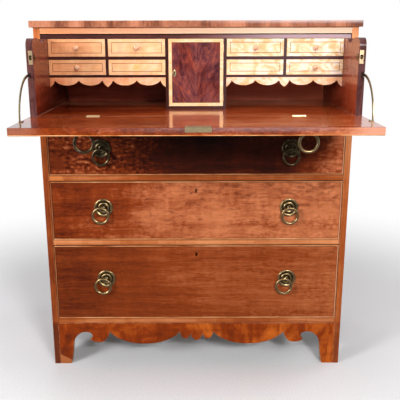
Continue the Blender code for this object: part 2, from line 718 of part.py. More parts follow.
def cell_levels(row):
    """The low and high z of a row of cells. Row 0 is the top one."""
    top = SIDE_TOP - row * (FIRST_ROW + ROW_BLADE)
    return top - (SECOND_ROW if row else FIRST_ROW), top


def gallery_partitions(on):
    """Posts, blades, dividers and shelves in one glued frame: a block with every cell cut right through it."""
    half = DESK_INSIDE - FIT
    front, back, past = GALLERY_FRONT, GALLERY_BACK, CUT_PAST
    low, high = (-half, front, DESK_LEVEL + FIT), (half, back, SIDE_TOP)
    frame = add_piece("gallery_partitions", box(low, high), "rosewood", on)
    cupboard_low = (-CUPBOARD_HALF, front - past, DESK_LEVEL + CUPBOARD_PLINTH)
    combine(frame, box(cupboard_low, (CUPBOARD_HALF, back + past, SIDE_TOP + past)), "DIFFERENCE")
    for sign in (-1, 1):
        for column in (0, 1):
            start, end = cell_edges(sign, column)
            if column == 1:
                start, end = (start - past, end) if sign < 0 else (start, end + past)
            for row in (0, 1):
                floor, ceiling = cell_levels(row)
                over = ceiling + past if row == 0 else ceiling
                combine(frame, box((start, front - past, floor), (end, back + past, over)), "DIFFERENCE")
        near, far = sorted((sign * CELL_START, sign * (half + past)))
        under = (near, front - past, DESK_LEVEL - past)
        combine(frame, box(under, (far, back + past, SHELF_LEVEL - PIGEONHOLE_SHELF)), "DIFFERENCE")


VALANCE_BOARD = 0.006
VALANCE_PENDANT = 0.0165
VALANCE_CUSP_DROP = 0.009
VALANCE_LOBE_DROP = 0.0245
VALANCE_PENDANT_DROP = 0.0288
PENDANT_TIP = 0.0016
PENDANT_BOW = 0.0022
PENDANT_STEPS = 4


def valance_outline(start, end, top):
    """Two modules, each of a half pendant, two lobes and a half pendant."""
    module = (end - start) / 2
    lobe_width = (module - 2 * VALANCE_PENDANT) / 2
    cusp, lowest, tip = top - VALANCE_CUSP_DROP, top - VALANCE_LOBE_DROP, top - VALANCE_PENDANT_DROP
    tip_half = PENDANT_TIP / 2
    points = [(end, top), (start, top), (start, tip)]
    for part in (0, 1):
        left = start + part * module
        first, middle, last = left + VALANCE_PENDANT, left + module / 2, left + module - VALANCE_PENDANT
        points += bowed((left + tip_half, tip), (first, cusp), PENDANT_BOW, PENDANT_STEPS)[:-1]
        points += lobe((first, cusp), (middle, cusp), lowest)
        points += lobe((middle, cusp), (last, cusp), lowest)[1:]
        points += bowed((last, cusp), (left + module - tip_half, tip), PENDANT_BOW, PENDANT_STEPS)[1:]
    points.append((end, tip))
    return points


def valance(name, sign, on):
    start, end = sorted((sign * (CELL_START + FIT), sign * (DESK_INSIDE - FIT)))
    outline = valance_outline(start, end, SHELF_LEVEL - PIGEONHOLE_SHELF - FIT)
    add_piece(name, prism(outline, GALLERY_FRONT, GALLERY_FRONT + VALANCE_BOARD, "xz"), "satinwood", on)


SMALL_FRONT = 0.010
SMALL_WALL = 0.006
SMALL_BOTTOM = 0.005
SMALL_HEADROOM = 0.004
KNOB_HOLE_RADIUS = 0.0014
# The knob's profile is (radius, distance in front of the drawer)
KNOB_PROFILE = (
    (0.0036, -0.0020),
    (0.0036, 0.0012),
    (0.0030, 0.0030),
    (0.0048, 0.0052),
    (0.0070, 0.0075),
    (0.0070, 0.0098),
    (0.0050, 0.0116),
)
KNOB_END = 0.0122
KNOB_FACETS = 16


def small_drawer(name, sign, column, row, knob, on):
    """A small drawer. Where its knob is lost, only the hole for it is left."""
    start, end = cell_edges(sign, column)
    floor, ceiling = cell_levels(row)
    path = carrier(f"{name}_path", ((start + end) / 2, GALLERY_FRONT, floor), on)
    back = GALLERY_FRONT + SMALL_DRAWER_LENGTH
    low = (start + SMALL_RUN, GALLERY_FRONT, floor + FIT)
    high = (end - SMALL_RUN, back, ceiling - SMALL_RUN)
    drawer = add_piece(name, box(low, high), "satinwood", path)
    inner_low = (low[0] + SMALL_WALL, GALLERY_FRONT + SMALL_FRONT, low[2] + SMALL_BOTTOM)
    inner_high = (high[0] - SMALL_WALL, back - SMALL_WALL, high[2] + CUT_PAST)
    combine(drawer, box(inner_low, inner_high), "DIFFERENCE")
    lowered = (low[0] - CUT_PAST, GALLERY_FRONT + SMALL_FRONT, high[2] - SMALL_HEADROOM)
    combine(drawer, box(lowered, (high[0] + CUT_PAST, back + CUT_PAST, high[2] + CUT_PAST)), "DIFFERENCE")
    middle = ((low[0] + high[0]) / 2, GALLERY_FRONT, (low[2] + high[2]) / 2)
    if knob:
        profile = [(0, KNOB_PROFILE[0][1]), *KNOB_PROFILE, (0, KNOB_END)]
        combine(drawer, turned(profile, middle, (0, -1, 0), KNOB_FACETS), "UNION")
    else:
        hole, through = KNOB_HOLE_RADIUS, SMALL_FRONT + CUT_PAST
        profile = [(0, -through), (hole, -through), (hole, CUT_PAST), (0, CUT_PAST)]
        combine(drawer, turned(profile, middle, (0, -1, 0), KNOB_FACETS), "DIFFERENCE")


DOOR_THICKNESS = 0.012
DOOR_KEY_INSET = 0.0173
DOOR_KEY_RISE = 0.1132


def cupboard_door(on):
    """The door swings on its right edge, on a pin line in the plane of its face."""
    half = CUPBOARD_HALF - SMALL_RUN
    low_z, high_z = DESK_LEVEL + CUPBOARD_PLINTH + SMALL_RUN, SIDE_TOP - SMALL_RUN
    swing = carrier("cupboard_door_swing", (half, GALLERY_FRONT, low_z), on)
    low, high = (-half, GALLERY_FRONT, low_z), (half, GALLERY_FRONT + DOOR_THICKNESS, high_z)
    door = add_piece("cupboard_door", box(low, high), "flame_mahogany", swing)
    outline = keyhole(-half + DOOR_KEY_INSET, DESK_LEVEL + DOOR_KEY_RISE)
    past = GALLERY_FRONT + DOOR_THICKNESS + CUT_PAST
    combine(door, prism(outline, GALLERY_FRONT - CUT_PAST, past, "xz"), "DIFFERENCE")


# The fall

LOCK_OFFSET = 0.005
LOCK_WIDTH = 0.068
LOCK_PLATE_DEPTH = 0.038
LOCK_PLATE = 0.0016
SELVEDGE_HEIGHT = 0.012
LOCK_CASE_WIDTH = 0.054
LOCK_CASE_DEPTH = 0.034
LOCK_CASE_THICKNESS = 0.0095
BOLT_MOUTH_WIDTH = 0.028
BOLT_MOUTH_HEIGHT = 0.006
BOLT_MOUTH_DEPTH = 0.001
LOCK_KEY_PLACE = 0.020


def lock_blocks(clear):
    """The three blocks of the fall's lock: its plate in the inner face, its selvedge and its case."""
    top, start = DESK_LEVEL - FIT, HINGE_LINE - FALL_LENGTH
    over = CUT_PAST if clear else 0
    blocks = []
    for width, depth, height in (
        (LOCK_WIDTH, LOCK_PLATE_DEPTH, LOCK_PLATE),
        (LOCK_WIDTH, LOCK_PLATE, SELVEDGE_HEIGHT),
        (LOCK_CASE_WIDTH, LOCK_CASE_DEPTH, LOCK_CASE_THICKNESS),
    ):
        half = width / 2 + clear
        low = (LOCK_OFFSET - half, start - over, top - height - clear)
        blocks.append(box(low, (LOCK_OFFSET + half, start + depth + clear, top + over)))
    return blocks


def fall_front(on):
    """The writing fall, open: its inner face is level with the desk, and its outer face is underneath."""
    top, face = DESK_LEVEL - FIT, DESK_LEVEL - FIT - FALL_THICKNESS + BEAD_RISE
    start, end = HINGE_LINE - FALL_LENGTH, HINGE_LINE - FIT
    panel = beaded_panel((-DESK_HALF, start), (DESK_HALF, end), top, face, "xy")
    fall = add_piece("fall_front", panel, "mahogany", on, smooth=True)
    for sign in (-1, 1):
        x = sign * HINGE_PLACE
        cut_for_knuckle(fall, x)
        half = HINGE_LENGTH / 2 + FIT
        low = (x - half, HINGE_LINE - LEAF_WIDTH - FIT, top - LEAF_THICKNESS - FIT)
        combine(fall, box(low, (x + half, end + CUT_PAST, top + CUT_PAST)), "DIFFERENCE")
    for block in lock_blocks(FIT):
        combine(fall, block, "DIFFERENCE")
    outline = [(x, -w) for x, w in keyhole(LOCK_OFFSET, -start - LOCK_KEY_PLACE)]
    combine(fall, prism(outline, face - CUT_PAST, top - LOCK_CASE_THICKNESS, "xy"), "DIFFERENCE")


def fall_lock(on):
    """The lock, let into the inner face and the free edge of the fall, with its bolt drawn in."""
    first, *others = lock_blocks(0)
    lock = add_piece("fall_lock", first, "brass", on)
    for block in others:
        combine(lock, block, "UNION")
    start, level = HINGE_LINE - FALL_LENGTH, DESK_LEVEL - FIT - SELVEDGE_HEIGHT / 2
    half, rise = BOLT_MOUTH_WIDTH / 2, BOLT_MOUTH_HEIGHT / 2
    low = (LOCK_OFFSET - half, start - CUT_PAST, level - rise)
    combine(lock, box(low, (LOCK_OFFSET + half, start + BOLT_MOUTH_DEPTH, level + rise)), "DIFFERENCE")


def quadrant_stay(name, sign, on):
    """A brass quadrant about the hinge line. Its foot stands on the fall, and its head stops in the groove."""
    outer = sign * (DESK_HALF - FIT)
    inner = outer - sign * STAY_THICKNESS
    start = math.asin(STAY_FOOT_PLATE / 2 / STAY_RADIUS)
    band = sector(
        STAY_RADIUS - STAY_WIDTH / 2, STAY_RADIUS + STAY_WIDTH / 2, start, HEAD_START + FIT / STAY_RADIUS, STAY_STEPS
    )
    stay = add_piece(name, prism(moved(band, HINGE_LINE, DESK_LEVEL), inner, outer, "yz"), "brass", on)
    head = sector(STAY_RADIUS - HEAD_WIDTH / 2, STAY_RADIUS + HEAD_WIDTH / 2, HEAD_START, HEAD_END, 2)
    combine(stay, prism(moved(head, HINGE_LINE, DESK_LEVEL), inner, outer, "yz"), "UNION")
    middle = HINGE_LINE - STAY_RADIUS
    near, far = sorted((outer, outer - sign * STAY_FOOT_SPREAD))
    low = (near, middle - STAY_FOOT_LENGTH / 2, DESK_LEVEL)
    combine(stay, box(low, (far, middle + STAY_FOOT_LENGTH / 2, DESK_LEVEL + STAY_FOOT_PLATE)), "UNION")


# How far each ring hangs out of plumb along the front
PLUMB = 0.0
LEFT_MIDDLE_LEAN = math.radians(20)
RIGHT_MIDDLE_LEAN = math.radians(-6)
LEFT_LOWER_LEAN = math.radians(24)
RIGHT_LOWER_LEAN = math.radians(22)

# Where the handles and keyholes sit over the middle of their drawers
UPPER_RISE = 0.002
MIDDLE_RISE = 0.010
LOWER_RISE = 0.013
KEY_FROM_TOP = 0.031


def build_carcass():
    top_board()
    side_board("left_side", -1)
    side_board("right_side", 1)
    back_panel()
    top_rail()
    dustboard("bottom_board", LOWER_FLOOR)
    dustboard("lower_dustboard", MIDDLE_FLOOR)
    dustboard("middle_dustboard", UPPER_FLOOR)
    dustboard("upper_dustboard", SECRETAIRE_FLOOR)
    front_apron()


def build_long_drawers():
    for name, floor, opening, rise, leans in (
        ("upper_drawer", UPPER_FLOOR, UPPER_OPENING, UPPER_RISE, (PLUMB, PLUMB)),
        ("middle_drawer", MIDDLE_FLOOR, MIDDLE_OPENING, MIDDLE_RISE, (LEFT_MIDDLE_LEAN, RIGHT_MIDDLE_LEAN)),
        ("lower_drawer", LOWER_FLOOR, LOWER_OPENING, LOWER_RISE, (LEFT_LOWER_LEAN, RIGHT_LOWER_LEAN)),
    ):
        on = carrier(f"{name}_path", (0, FRONT, floor))
        long_drawer(name, floor, opening, floor + opening - KEY_FROM_TOP, on)
        handle_level = floor + opening / 2 + rise
        for side, sign, lean in (("left", -1, leans[0]), ("right", 1, leans[1])):
            place = (sign * HANDLE_SPREAD, FRONT, handle_level)
            ring_handle(f"{name}_{side}", place, (0, -1, 0), lean, on)


def build_secretaire():
    slide = carrier("secretaire_path", (0, HINGE_LINE, DESK_LEVEL))
    secretaire_base(slide)
    secretaire_back(slide)
    gallery_top(slide)
    gallery_partitions(slide)
    cupboard_door(slide)
    for side, sign in (("left", -1), ("right", 1)):
        secretaire_side(f"secretaire_{side}_side", sign, slide)
        catch_plate(f"{side}_catch_plate", sign, slide)
        thumb_slide(f"{side}_thumb_slide", sign, slide)
        valance(f"{side}_valance", sign, slide)
        for column, place in ((1, "outer"), (0, "inner")):
            for row, level in ((0, "upper"), (1, "lower")):
                knob = not (place == "inner" and level == "lower")
                small_drawer(f"{side}_{place}_{level}_drawer", sign, column, row, knob, slide)
    return slide


def build_fall(slide):
    swing = carrier("fall_swing", (0, HINGE_LINE, DESK_LEVEL), slide)
    fall_front(swing)
    fall_lock(swing)
    for side, sign in (("left", -1), ("right", 1)):
        quadrant_stay(f"{side}_stay", sign, swing)
        fall_hinge(f"{side}_fall_hinge", sign, swing)
        under = DESK_LEVEL - FIT - FALL_THICKNESS + BEAD_RISE
        place = (sign * HANDLE_SPREAD, HINGE_LINE - FALL_LENGTH / 2, under)
        ring_handle(f"fall_{side}", place, (0, 0, -1), PLUMB, swing)


def main():
    clear_scene()
    build_carcass()
    build_long_drawers()
    build_fall(build_secretaire())


main()
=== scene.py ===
"""The looks of a mahogany secretaire chest: finishes, softened arrises, fine brasswork, camera and light.

Everything is in metres, with X across the front, -Y the front and Z up. Places are read from the frame's
nodes, and colours are written as sRGB values from 0 to 255.
"""

import json
import math

import bmesh
import bpy
from mathutils import Matrix, Vector


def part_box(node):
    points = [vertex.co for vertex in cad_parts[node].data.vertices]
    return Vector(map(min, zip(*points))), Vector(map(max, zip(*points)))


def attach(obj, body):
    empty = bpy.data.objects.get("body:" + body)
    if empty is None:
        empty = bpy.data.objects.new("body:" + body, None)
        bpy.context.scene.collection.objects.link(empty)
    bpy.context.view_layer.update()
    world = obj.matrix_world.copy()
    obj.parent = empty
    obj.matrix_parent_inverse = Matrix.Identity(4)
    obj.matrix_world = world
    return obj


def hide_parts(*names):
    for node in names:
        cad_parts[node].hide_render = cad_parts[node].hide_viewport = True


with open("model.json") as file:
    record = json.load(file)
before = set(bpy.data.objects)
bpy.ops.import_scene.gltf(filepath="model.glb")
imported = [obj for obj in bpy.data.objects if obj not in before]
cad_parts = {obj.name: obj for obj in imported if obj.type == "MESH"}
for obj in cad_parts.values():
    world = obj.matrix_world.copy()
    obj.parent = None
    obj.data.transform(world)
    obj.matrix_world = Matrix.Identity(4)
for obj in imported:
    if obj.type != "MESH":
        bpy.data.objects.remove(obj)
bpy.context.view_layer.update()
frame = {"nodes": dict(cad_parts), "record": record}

# The camera: a pinhole of 400 by 400 pixels, with its angles in radians
FRAME_PIXELS = 400
FOCAL_PIXELS = 608.94
CENTRE_SHIFT_PIXELS = (4.555, 4.574)
SENSOR_MM = 36.0
CAMERA_PLACE = (-0.0029, -1.9804, 1.1200)
CAMERA_PITCH = 0.25615
CAMERA_YAW = 0.00014
CAMERA_ROLL = -0.0025

# Lamps, as (name, place, size, watts). Only the soft boxes are mirrored in polish and brass
LAMP_TARGET = (0.0, -0.1, 0.62)
LAMPS = (
    ("softbox_left", (-2.35, -2.05, 1.62), (0.9, 0.9), 72.0),
    ("softbox_right", (0.95, -2.95, 1.95), (0.6, 0.6), 70.0),
    ("front_fill", (0.0, -3.2, 1.25), (1.6, 1.2), 4.0),
    ("top_light", (0.1, -0.9, 3.0), (2.0, 1.2), 52.0),
    ("side_fill", (3.0, 1.5, 1.5), (1.6, 1.2), 30.0),
    ("back_fill", (-1.0, 3.2, 1.4), (2.0, 1.4), 40.0),
)

# Surroundings: how strongly they light the chest, and what polish mirrors of the room before it
AMBIENT = 0.07
DIM_GLOSS = 0.04
ROOM_GLOSS = 0.70
ROOM_HORIZON = (0.0, 0.12)
ROOM_BEFORE = (-0.35, 0.15)
FLOOR_RADIUS = 7.0
FLOOR_FADE = (1.0, 2.2)
FLOOR_BEHIND = (-0.6, 0.2)
FLOOR_SPECKS = ((218, 218, 220), (234, 234, 236))
FLOOR_MIRRORED = (96, 96, 98)

# Nodes: the body that each belongs to
BODY_OF = {node: body for body, nodes in frame["record"]["behaviour"]["bodies"].items() for node in nodes}
LONG_DRAWERS = ("upper_drawer", "middle_drawer", "lower_drawer")

# Planes and levels of the chest
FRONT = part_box("left_side")[0].y
HINGE_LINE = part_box("secretaire_base")[0].y
DESK_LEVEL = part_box("secretaire_base")[1].z
DESK_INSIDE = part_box("secretaire_right_side")[0].x
DESK_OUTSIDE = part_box("secretaire_right_side")[1].x
RECESS_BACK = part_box("secretaire_back")[0].y
GALLERY_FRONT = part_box("gallery_partitions")[0].y
TOP_SPAN = (-0.50, 0.50)
FRONT_SPAN = (-0.48, 0.48)
GALLERY_SPAN = (-0.47, 0.47)
HEIGHT_SPAN = (0.0, 1.15)

# Softened solids
WELD = 0.000003
FLAT_WITHIN = math.radians(0.6)
ARRIS_OVER = math.radians(38)
SHARP_OVER = math.radians(42)

# Trim
BEAD_WIDTH = 0.004
BEAD_RISE = 0.0025
RAIL_HEIGHT = 0.019
RAIL_FACING = 0.030
FOOT_JOINT = (0.165, 0.150)
BAND_WIDTH = 0.0105
DIRT_AND_SHADE_WIDTH = 0.0022
SCRATCH_HALF = 0.0002
PATCH_HALF = (0.014, 0.012)

# Ring handles
PLATE_RADIUS = 0.0312
EYE_STANDOFF = 0.0125
EYE_RADIUS = 0.0066
EYE_WIRE = 0.0016
NECK_RADIUS = 0.0028
RING_RADIUS = 0.0257
RING_WIRE = 0.0045
RING_SWELL = 0.04

# Small brass fittings. Screws stand at shares of a fitting's length, or as (share, distance back)
SEAT_GAP = 0.0003
SCREW_RADIUS = 0.0022
CATCH_SCREW_RADIUS = 0.0019
CATCH_SCREW_INSET = 0.005
HINGE_SCREW_SHARES = (0.18, 0.5, 0.82)
LEAF_MIDDLE = 0.0135
LOCK_SCREWS = ((0.06, 0.008), (0.94, 0.008), (0.06, 0.032), (0.94, 0.032))
KEYHOLE_RADIUS = 0.0028
KEYHOLE_SLOT = 0.0036
KEYHOLE_DROP = 0.0085
KEYHOLE_POINTS = 40
KEY_FROM_TOP = 0.029
THREAD_WIDTH = 0.0024
DOOR_KEY = (0.0173, 0.1132)
KEY_BELOW_CENTRE = 0.0025
LOZENGE_HALF = (0.0056, 0.0125)
LOZENGE_POWER = 1.35
DOOR_HINGE_LEVELS = (("upper", 1.083), ("lower", 0.933))
DOOR_KNUCKLE = ((0.0016, 0.0), (0.0021, 0.0004), (0.0021, 0.0072), (0.0016, 0.0076))
DOOR_KNUCKLE_STARTS = (-0.012, -0.004, 0.004)

# Knobs, as (radius, distance in front of the drawer)
KNOB_PROFILE = (
    (0.0046, 0.0000), (0.0048, 0.0008), (0.0042, 0.0018), (0.0038, 0.0030), (0.0044, 0.0042),
    (0.0060, 0.0054), (0.0073, 0.0068), (0.0079, 0.0082), (0.0078, 0.0096), (0.0070, 0.0110),
    (0.0054, 0.0120), (0.0032, 0.0127), (0.0014, 0.0129),
)

# Handle plate, as (share of the radius, height): a thick round rim, a dished ground and a raised boss
PLATE_PROFILE = (
    (1.000, 0.0000), (1.000, 0.0012), (0.985, 0.0026), (0.950, 0.0036), (0.900, 0.0042), (0.840, 0.0042),
    (0.780, 0.0036), (0.725, 0.0027), (0.685, 0.0016), (0.660, 0.0010), (0.625, 0.0010), (0.600, 0.0015),
    (0.580, 0.0023), (0.545, 0.0031), (0.500, 0.0035), (0.440, 0.0033), (0.385, 0.0026), (0.340, 0.0018),
    (0.300, 0.0014), (0.250, 0.0016), (0.210, 0.0024), (0.165, 0.0040), (0.126, 0.0050),
)
PLATE_HOLLOWS = ((0.645, 0.05), (0.29, 0.08))

# Brasses: dark, middle and light shade, roughness and how cloudy the patina is
BRASSES = {
    "bronze": (((52, 40, 24), (110, 90, 56), (176, 150, 104)), 0.36, 0.5),
    "plate_brass": (((34, 27, 17), (154, 130, 90), (234, 212, 172)), 0.32, 0.5),
    "ring_brass": (((66, 53, 34), (156, 132, 92), (222, 200, 160)), 0.32, 0.4),
    "pale_brass": (((170, 138, 98), (216, 188, 146), (240, 222, 188)), 0.34, 0.4),
    # painted shade: a darker copy of the plate brass, for brass in the fall's shadow
    "shadow_painted_brass": (((26, 21, 14), (92, 78, 54), (210, 192, 156)), 0.32, 0.5),
    "dark_brass": (((9, 7, 4), (26, 20, 13), (66, 54, 36)), 0.50, 0.6),
    "lock_brass": (((136, 116, 84), (190, 172, 134), (222, 208, 172)), 0.40, 0.6),
    "stay_brass": (((88, 76, 52), (148, 132, 98), (204, 190, 156)), 0.36, 0.5),
}

# Woods: dark, middle and light shade, then how strongly each kind of figure shows
FIGURES = ("streak", "fine", "blotch", "ribbon", "wave", "pores")
WOODS = {
    "mahogany": (((82, 24, 3), (141, 57, 17), (202, 117, 74)), (1.0, 0.6, 1.0, 0.45, 0.018, 0.30)),
    "plain_mahogany": (((82, 26, 4), (144, 62, 21), (196, 112, 66)), (0.75, 0.6, 0.5, 0.2, 0.012, 0.30)),
    "orange": (((118, 46, 12), (174, 87, 37), (222, 142, 90)), (0.9, 0.5, 0.8, 0.25, 0.004, 0.35)),
    "flame": (((86, 26, 0), (146, 55, 4), (212, 106, 32)), (0.5, 0.3, 0.7, 0.6, 0.030, 0.25)),
    "desk": (((98, 30, 9), (164, 72, 32), (216, 132, 84)), (1.9, 0.5, 0.6, 0.1, 0.014, 0.2)),
    "inner": (((92, 28, 13), (142, 58, 31), (182, 94, 60)), (0.8, 0.4, 0.5, 0.2, 0.006, 0.1)),
    "backboard": (((84, 20, 8), (146, 50, 26), (204, 98, 66)), (0.7, 0.4, 0.6, 0.2, 0.006, 0.1)),
    "rosewood": (((42, 19, 17), (76, 40, 37), (122, 80, 76)), (1.0, 0.6, 0.4, 0.1, 0.006, 0.35)),
    "divider": (((30, 11, 9), (54, 22, 18), (84, 42, 34)), (0.8, 0.6, 0.4, 0.1, 0.006, 0.3)),
    "satinwood": (((184, 108, 66), (214, 150, 104), (236, 186, 134)), (0.5, 0.5, 0.7, 0.9, 0.004, 0.12)),
    "valance": (((166, 92, 56), (204, 128, 86), (230, 166, 120)), (0.5, 0.5, 0.9, 0.9, 0.004, 0.12)),
    "oak": (((112, 78, 44), (152, 114, 70), (184, 148, 100)), (0.9, 0.7, 0.5, 0.1, 0.006, 0.5)),
}

# Figure: how fine each kind is along the grain and across it
STREAK = (1.7, 46.0)
FINE = (9.0, 330.0)
PORE = (60.0, 900.0)
RIBBON = (34.0, 5.0)
BLOTCH = (6.5, 6.5)
WOBBLE = (4.0, 9.0)
AXES = {"x": (1, 0, 0), "y": (0, 1, 0), "z": (0, 0, 1)}
SEED_STEP = 7.31
SEED_PARTS = (1.0, 1.7, 2.3)

# Shades of veneers and beads
CROSSBAND = ((56, 20, 9), (118, 64, 40), (176, 112, 82), (196, 134, 104))
COCKBEAD = ((158, 86, 42), (202, 132, 82), (228, 168, 118))
COCKBEAD_LEFT = (146, 74, 38)
COCKBEAD_RIGHT = (212, 148, 112)
FALL_BEAD = ((196, 116, 62), (232, 158, 98), (244, 184, 128))
DOOR_FLAME = ((52, 22, 30), (88, 42, 46), (124, 62, 56), (166, 80, 54))
DOOR_RED = (255, 190, 120)
DOOR_JOINT = (150, 96, 88)
STRING = (112, 58, 26)
CREAM = ((220, 182, 128), (238, 218, 182), (246, 238, 224))
KNOB_WOOD = ((178, 124, 92), (210, 162, 128), (232, 196, 162))
VALANCE_BACK = (150, 92, 50)

# Shades of wear, dirt, hazy polish, and painted light and shade
DIRT_AND_SHADE = (34, 14, 6)
KNOB_DIRT_AND_SHADE = (96, 46, 26)
SCRATCHED = (214, 158, 128)
FLECK = (96, 32, 12)
ROSY = (255, 214, 206)
RUBBED_BAND = (196, 142, 110)
RUBBED_STILE = (232, 160, 104)
APRON_ARRIS_WEAR_AND_HIGHLIGHT = (206, 132, 86)
CHIPPED_FOOT = (204, 124, 76)
RUBBED_FALL = (206, 140, 122)
FALL_JOINT_WEAR_AND_HIGHLIGHT = (226, 170, 146)
FALL_SCRATCHED = (190, 130, 100)
FALL_SHEEN_GREY = ((96, 66, 70), (188, 148, 144))
FALL_LEFT = (176, 122, 100)
FALL_RIGHT = (226, 162, 136)
DESK_JOINT = (206, 150, 122)
DESK_PALE_BAND = (176, 124, 98)
HAZY_BAND = (206, 186, 182)
PAINTED_REFLECTION_ROSEWOOD = (188, 164, 172)
PAINTED_HIGHLIGHT_DIVIDER = (112, 90, 98)
HAZY_SIDE = (112, 74, 64)
PAINTED_SHEEN_END = (112, 78, 78)
RAIL_HIGHLIGHT_CREAM = (234, 214, 186)
RAIL_EDGE_SHADOW = (150, 70, 26)
RAIL_REPAIR = (226, 138, 76)
PAINTED_SHADOW_CUT = (40, 18, 14)
LOST_KNOB = (250, 168, 92)
DOVETAIL = (96, 62, 34)
DOVETAIL_LINE = (40, 24, 12)

# Tones of the woods and painted light, evenly spread from left to right, from the front back or from below
# up: lighter above 0
TONES = {
    "top_face": (0.0, 0.1, 0.25),
    "top_band": (0.02, -0.24, -0.20, -0.16, -0.22),
    "top_rail": (0.60, 0.56, 0.46, 0.4, 0.4),
    "side_face": (-0.1, 0.0, 0.1),
    "left_stile": (-0.2, -0.3, -0.12, 0.15),
    "right_stile": (-0.05, -0.16, 0.30, 0.5),
    "apron": (-0.14, 0.08, -0.04, 0.12, 0.04, 0.04, 0.14),
    "bottom_board": (0.02, 0.18, 0.22),
    "lower_dustboard": (0.40, 0.38, 0.52, 0.58),
    "middle_dustboard": (0.15, -0.12, -0.15, 0.10),
    "upper_dustboard": (0.0, 0.0, 0.0),
    "desk": (-0.42, -0.22, -0.06, 0.02, -0.14),
    # painted light: the desk lighter towards the back, under the gallery
    "desk_depth": (0.05, -0.22, -0.10, 0.35, 0.30),
    # painted light and shade: the secretaire's inner faces lighter towards the front, darker low down
    "side_depth": (0.2, 0.0, -0.2),
    "side_height": (-0.45, 0.0, 0.2),
    # painted light: the recess back lighter towards the right
    "recess_back": (0.1, 0.15, 0.5, 0.9),
    "fall_inside": (-0.50, -0.20, 0.02, 0.14, -0.10),
    "fall_outside": (-0.1, 0.1, 0.0),
    "fall_edge": (-0.10, -0.10, -0.10, 0.05, 0.75),
    "gallery_top": (-0.15, 0.0, 0.3, 0.6),
    "gallery_band": (-0.1, 0.2, 0.5, 0.45, 0.2),
    "small_drawer": (-0.25, 0.15, 0.4, 0.35, 0.2),
    "valance": (-0.1, 0.15, 0.3, 0.3, 0.1),
}

# How far a painted highlight pales a piece, from left to right
RAIL_PAINTED_HIGHLIGHT = (0.05, 0.25, 0.55, 0.84, 0.78)
CREAM_PAINTED_HIGHLIGHT = (0.0, 0.12, 0.25, 0.72, 0.80)
VALANCE_PAINTED_HIGHLIGHT = (0.0, 0.15, 0.3, 0.6, 0.4)

# The long drawers' veneers, with their levels and their mottle from left to right. The levels carry painted
# shadow and highlight where noted
MOTTLE = 3.0
DRAWER_LOOKS = {
    # painted shadow: the upper drawer darkest in its middle under the fall, with painted light at its right
    # end
    "upper_drawer": dict(
        kind="mahogany", seed=12, tone_and_painted_light=(-0.14, -0.40, -0.80, -0.60, 0.28),
        mottle=(1.0, 0.9, 0.08, 0.15, 0.50), rosy=0.15, flecks=0.0,
    ),
    # painted highlight: the middle drawer lighter past its left third, a broad sheen
    "middle_drawer": dict(
        kind="mahogany", seed=13, tone_and_painted_light=(-0.20, 0.12, 0.42, 0.42, 0.50),
        mottle=(0.2, 0.2, 0.25, 0.3, 0.4), rosy=0.0, flecks=0.7,
    ),
    "lower_drawer": dict(
        kind="plain_mahogany", seed=14, tone_and_painted_light=(-0.28, -0.12, 0.02, 0.08, 0.26),
        mottle=(0.1, 0.1, 0.1, 0.14, 0.2), rosy=0.0, flecks=0.35,
    ),
}

# Scratches in the fall's free edge, as (x, z, run, rise)
FALL_SCRATCHES = (
    (-0.335, 0.8950, 0.022, -0.0150),
    (-0.246, 0.8800, 0.006, 0.0130),
    (-0.251, 0.8790, 0.008, 0.0120),
    (-0.120, 0.8860, 0.030, 0.0040),
    (0.205, 0.8930, 0.018, -0.0060),
    (0.330, 0.8840, 0.012, 0.0080),
)


def paint(red, green, blue):
    """An sRGB colour as the linear value that a shader takes."""
    shares = [value / 255 for value in (red, green, blue)]
    return (*[c / 12.92 if c <= 0.04045 else ((c + 0.055) / 1.055) ** 2.4 for c in shares], 1.0)


# Node trees


class Nodes:
    """A node tree. What feeds an input is a number, a colour, a vector or another node's output."""

    def __init__(self, tree):
        self.tree = tree

    def feed(self, socket, value):
        if isinstance(value, bpy.types.NodeSocket):
            self.tree.links.new(value, socket)
        else:
            socket.default_value = value

    def node(self, kind, inputs=None, **settings):
        """A new node, with its settings and what feeds its inputs, by number or by name."""
        made = self.tree.nodes.new(kind)
        for key, value in settings.items():
            setattr(made, key, value)
        for key, value in (inputs or {}).items():
            self.feed(made.inputs[key], value)
        return made

    def math(self, operation, first, second=0.0):
        return self.node("ShaderNodeMath", {0: first, 1: second}, operation=operation).outputs[0]

    def add(self, first, second):
        return self.math("ADD", first, second)

    def minus(self, first, second):
        return self.math("SUBTRACT", first, second)

    def times(self, first, second):
        return self.math("MULTIPLY", first, second)

    def product(self, *shares):
        result = shares[0]
        for share in shares[1:]:
            result = self.times(result, share)
        return result

    def swing(self, value, strength, middle=0.5):
        """How far a value is from its middle, times a strength."""
        return self.times(self.add(value, -middle), strength)

    def mix(self, share, first, second):
        """A number between two others."""
        return self.node("ShaderNodeMix", {0: share, 2: first, 3: second}).outputs[0]

    def smooth(self, value, low, high, start=0.0, end=1.0):
        """From start at low to end at high, with a soft step between. High may be the smaller."""
        inputs = {0: value, 1: low, 2: high, 3: start, 4: end}
        return self.node("ShaderNodeMapRange", inputs, interpolation_type="SMOOTHSTEP").outputs[0]

    def near(self, value, middle, half, soft):
        """1 within half of middle, fading to 0 over soft."""
        return self.smooth(self.math("ABSOLUTE", self.add(value, -middle)), half + soft, half)

    def ray(self, kind):
        return self.node("ShaderNodeLightPath").outputs[kind]


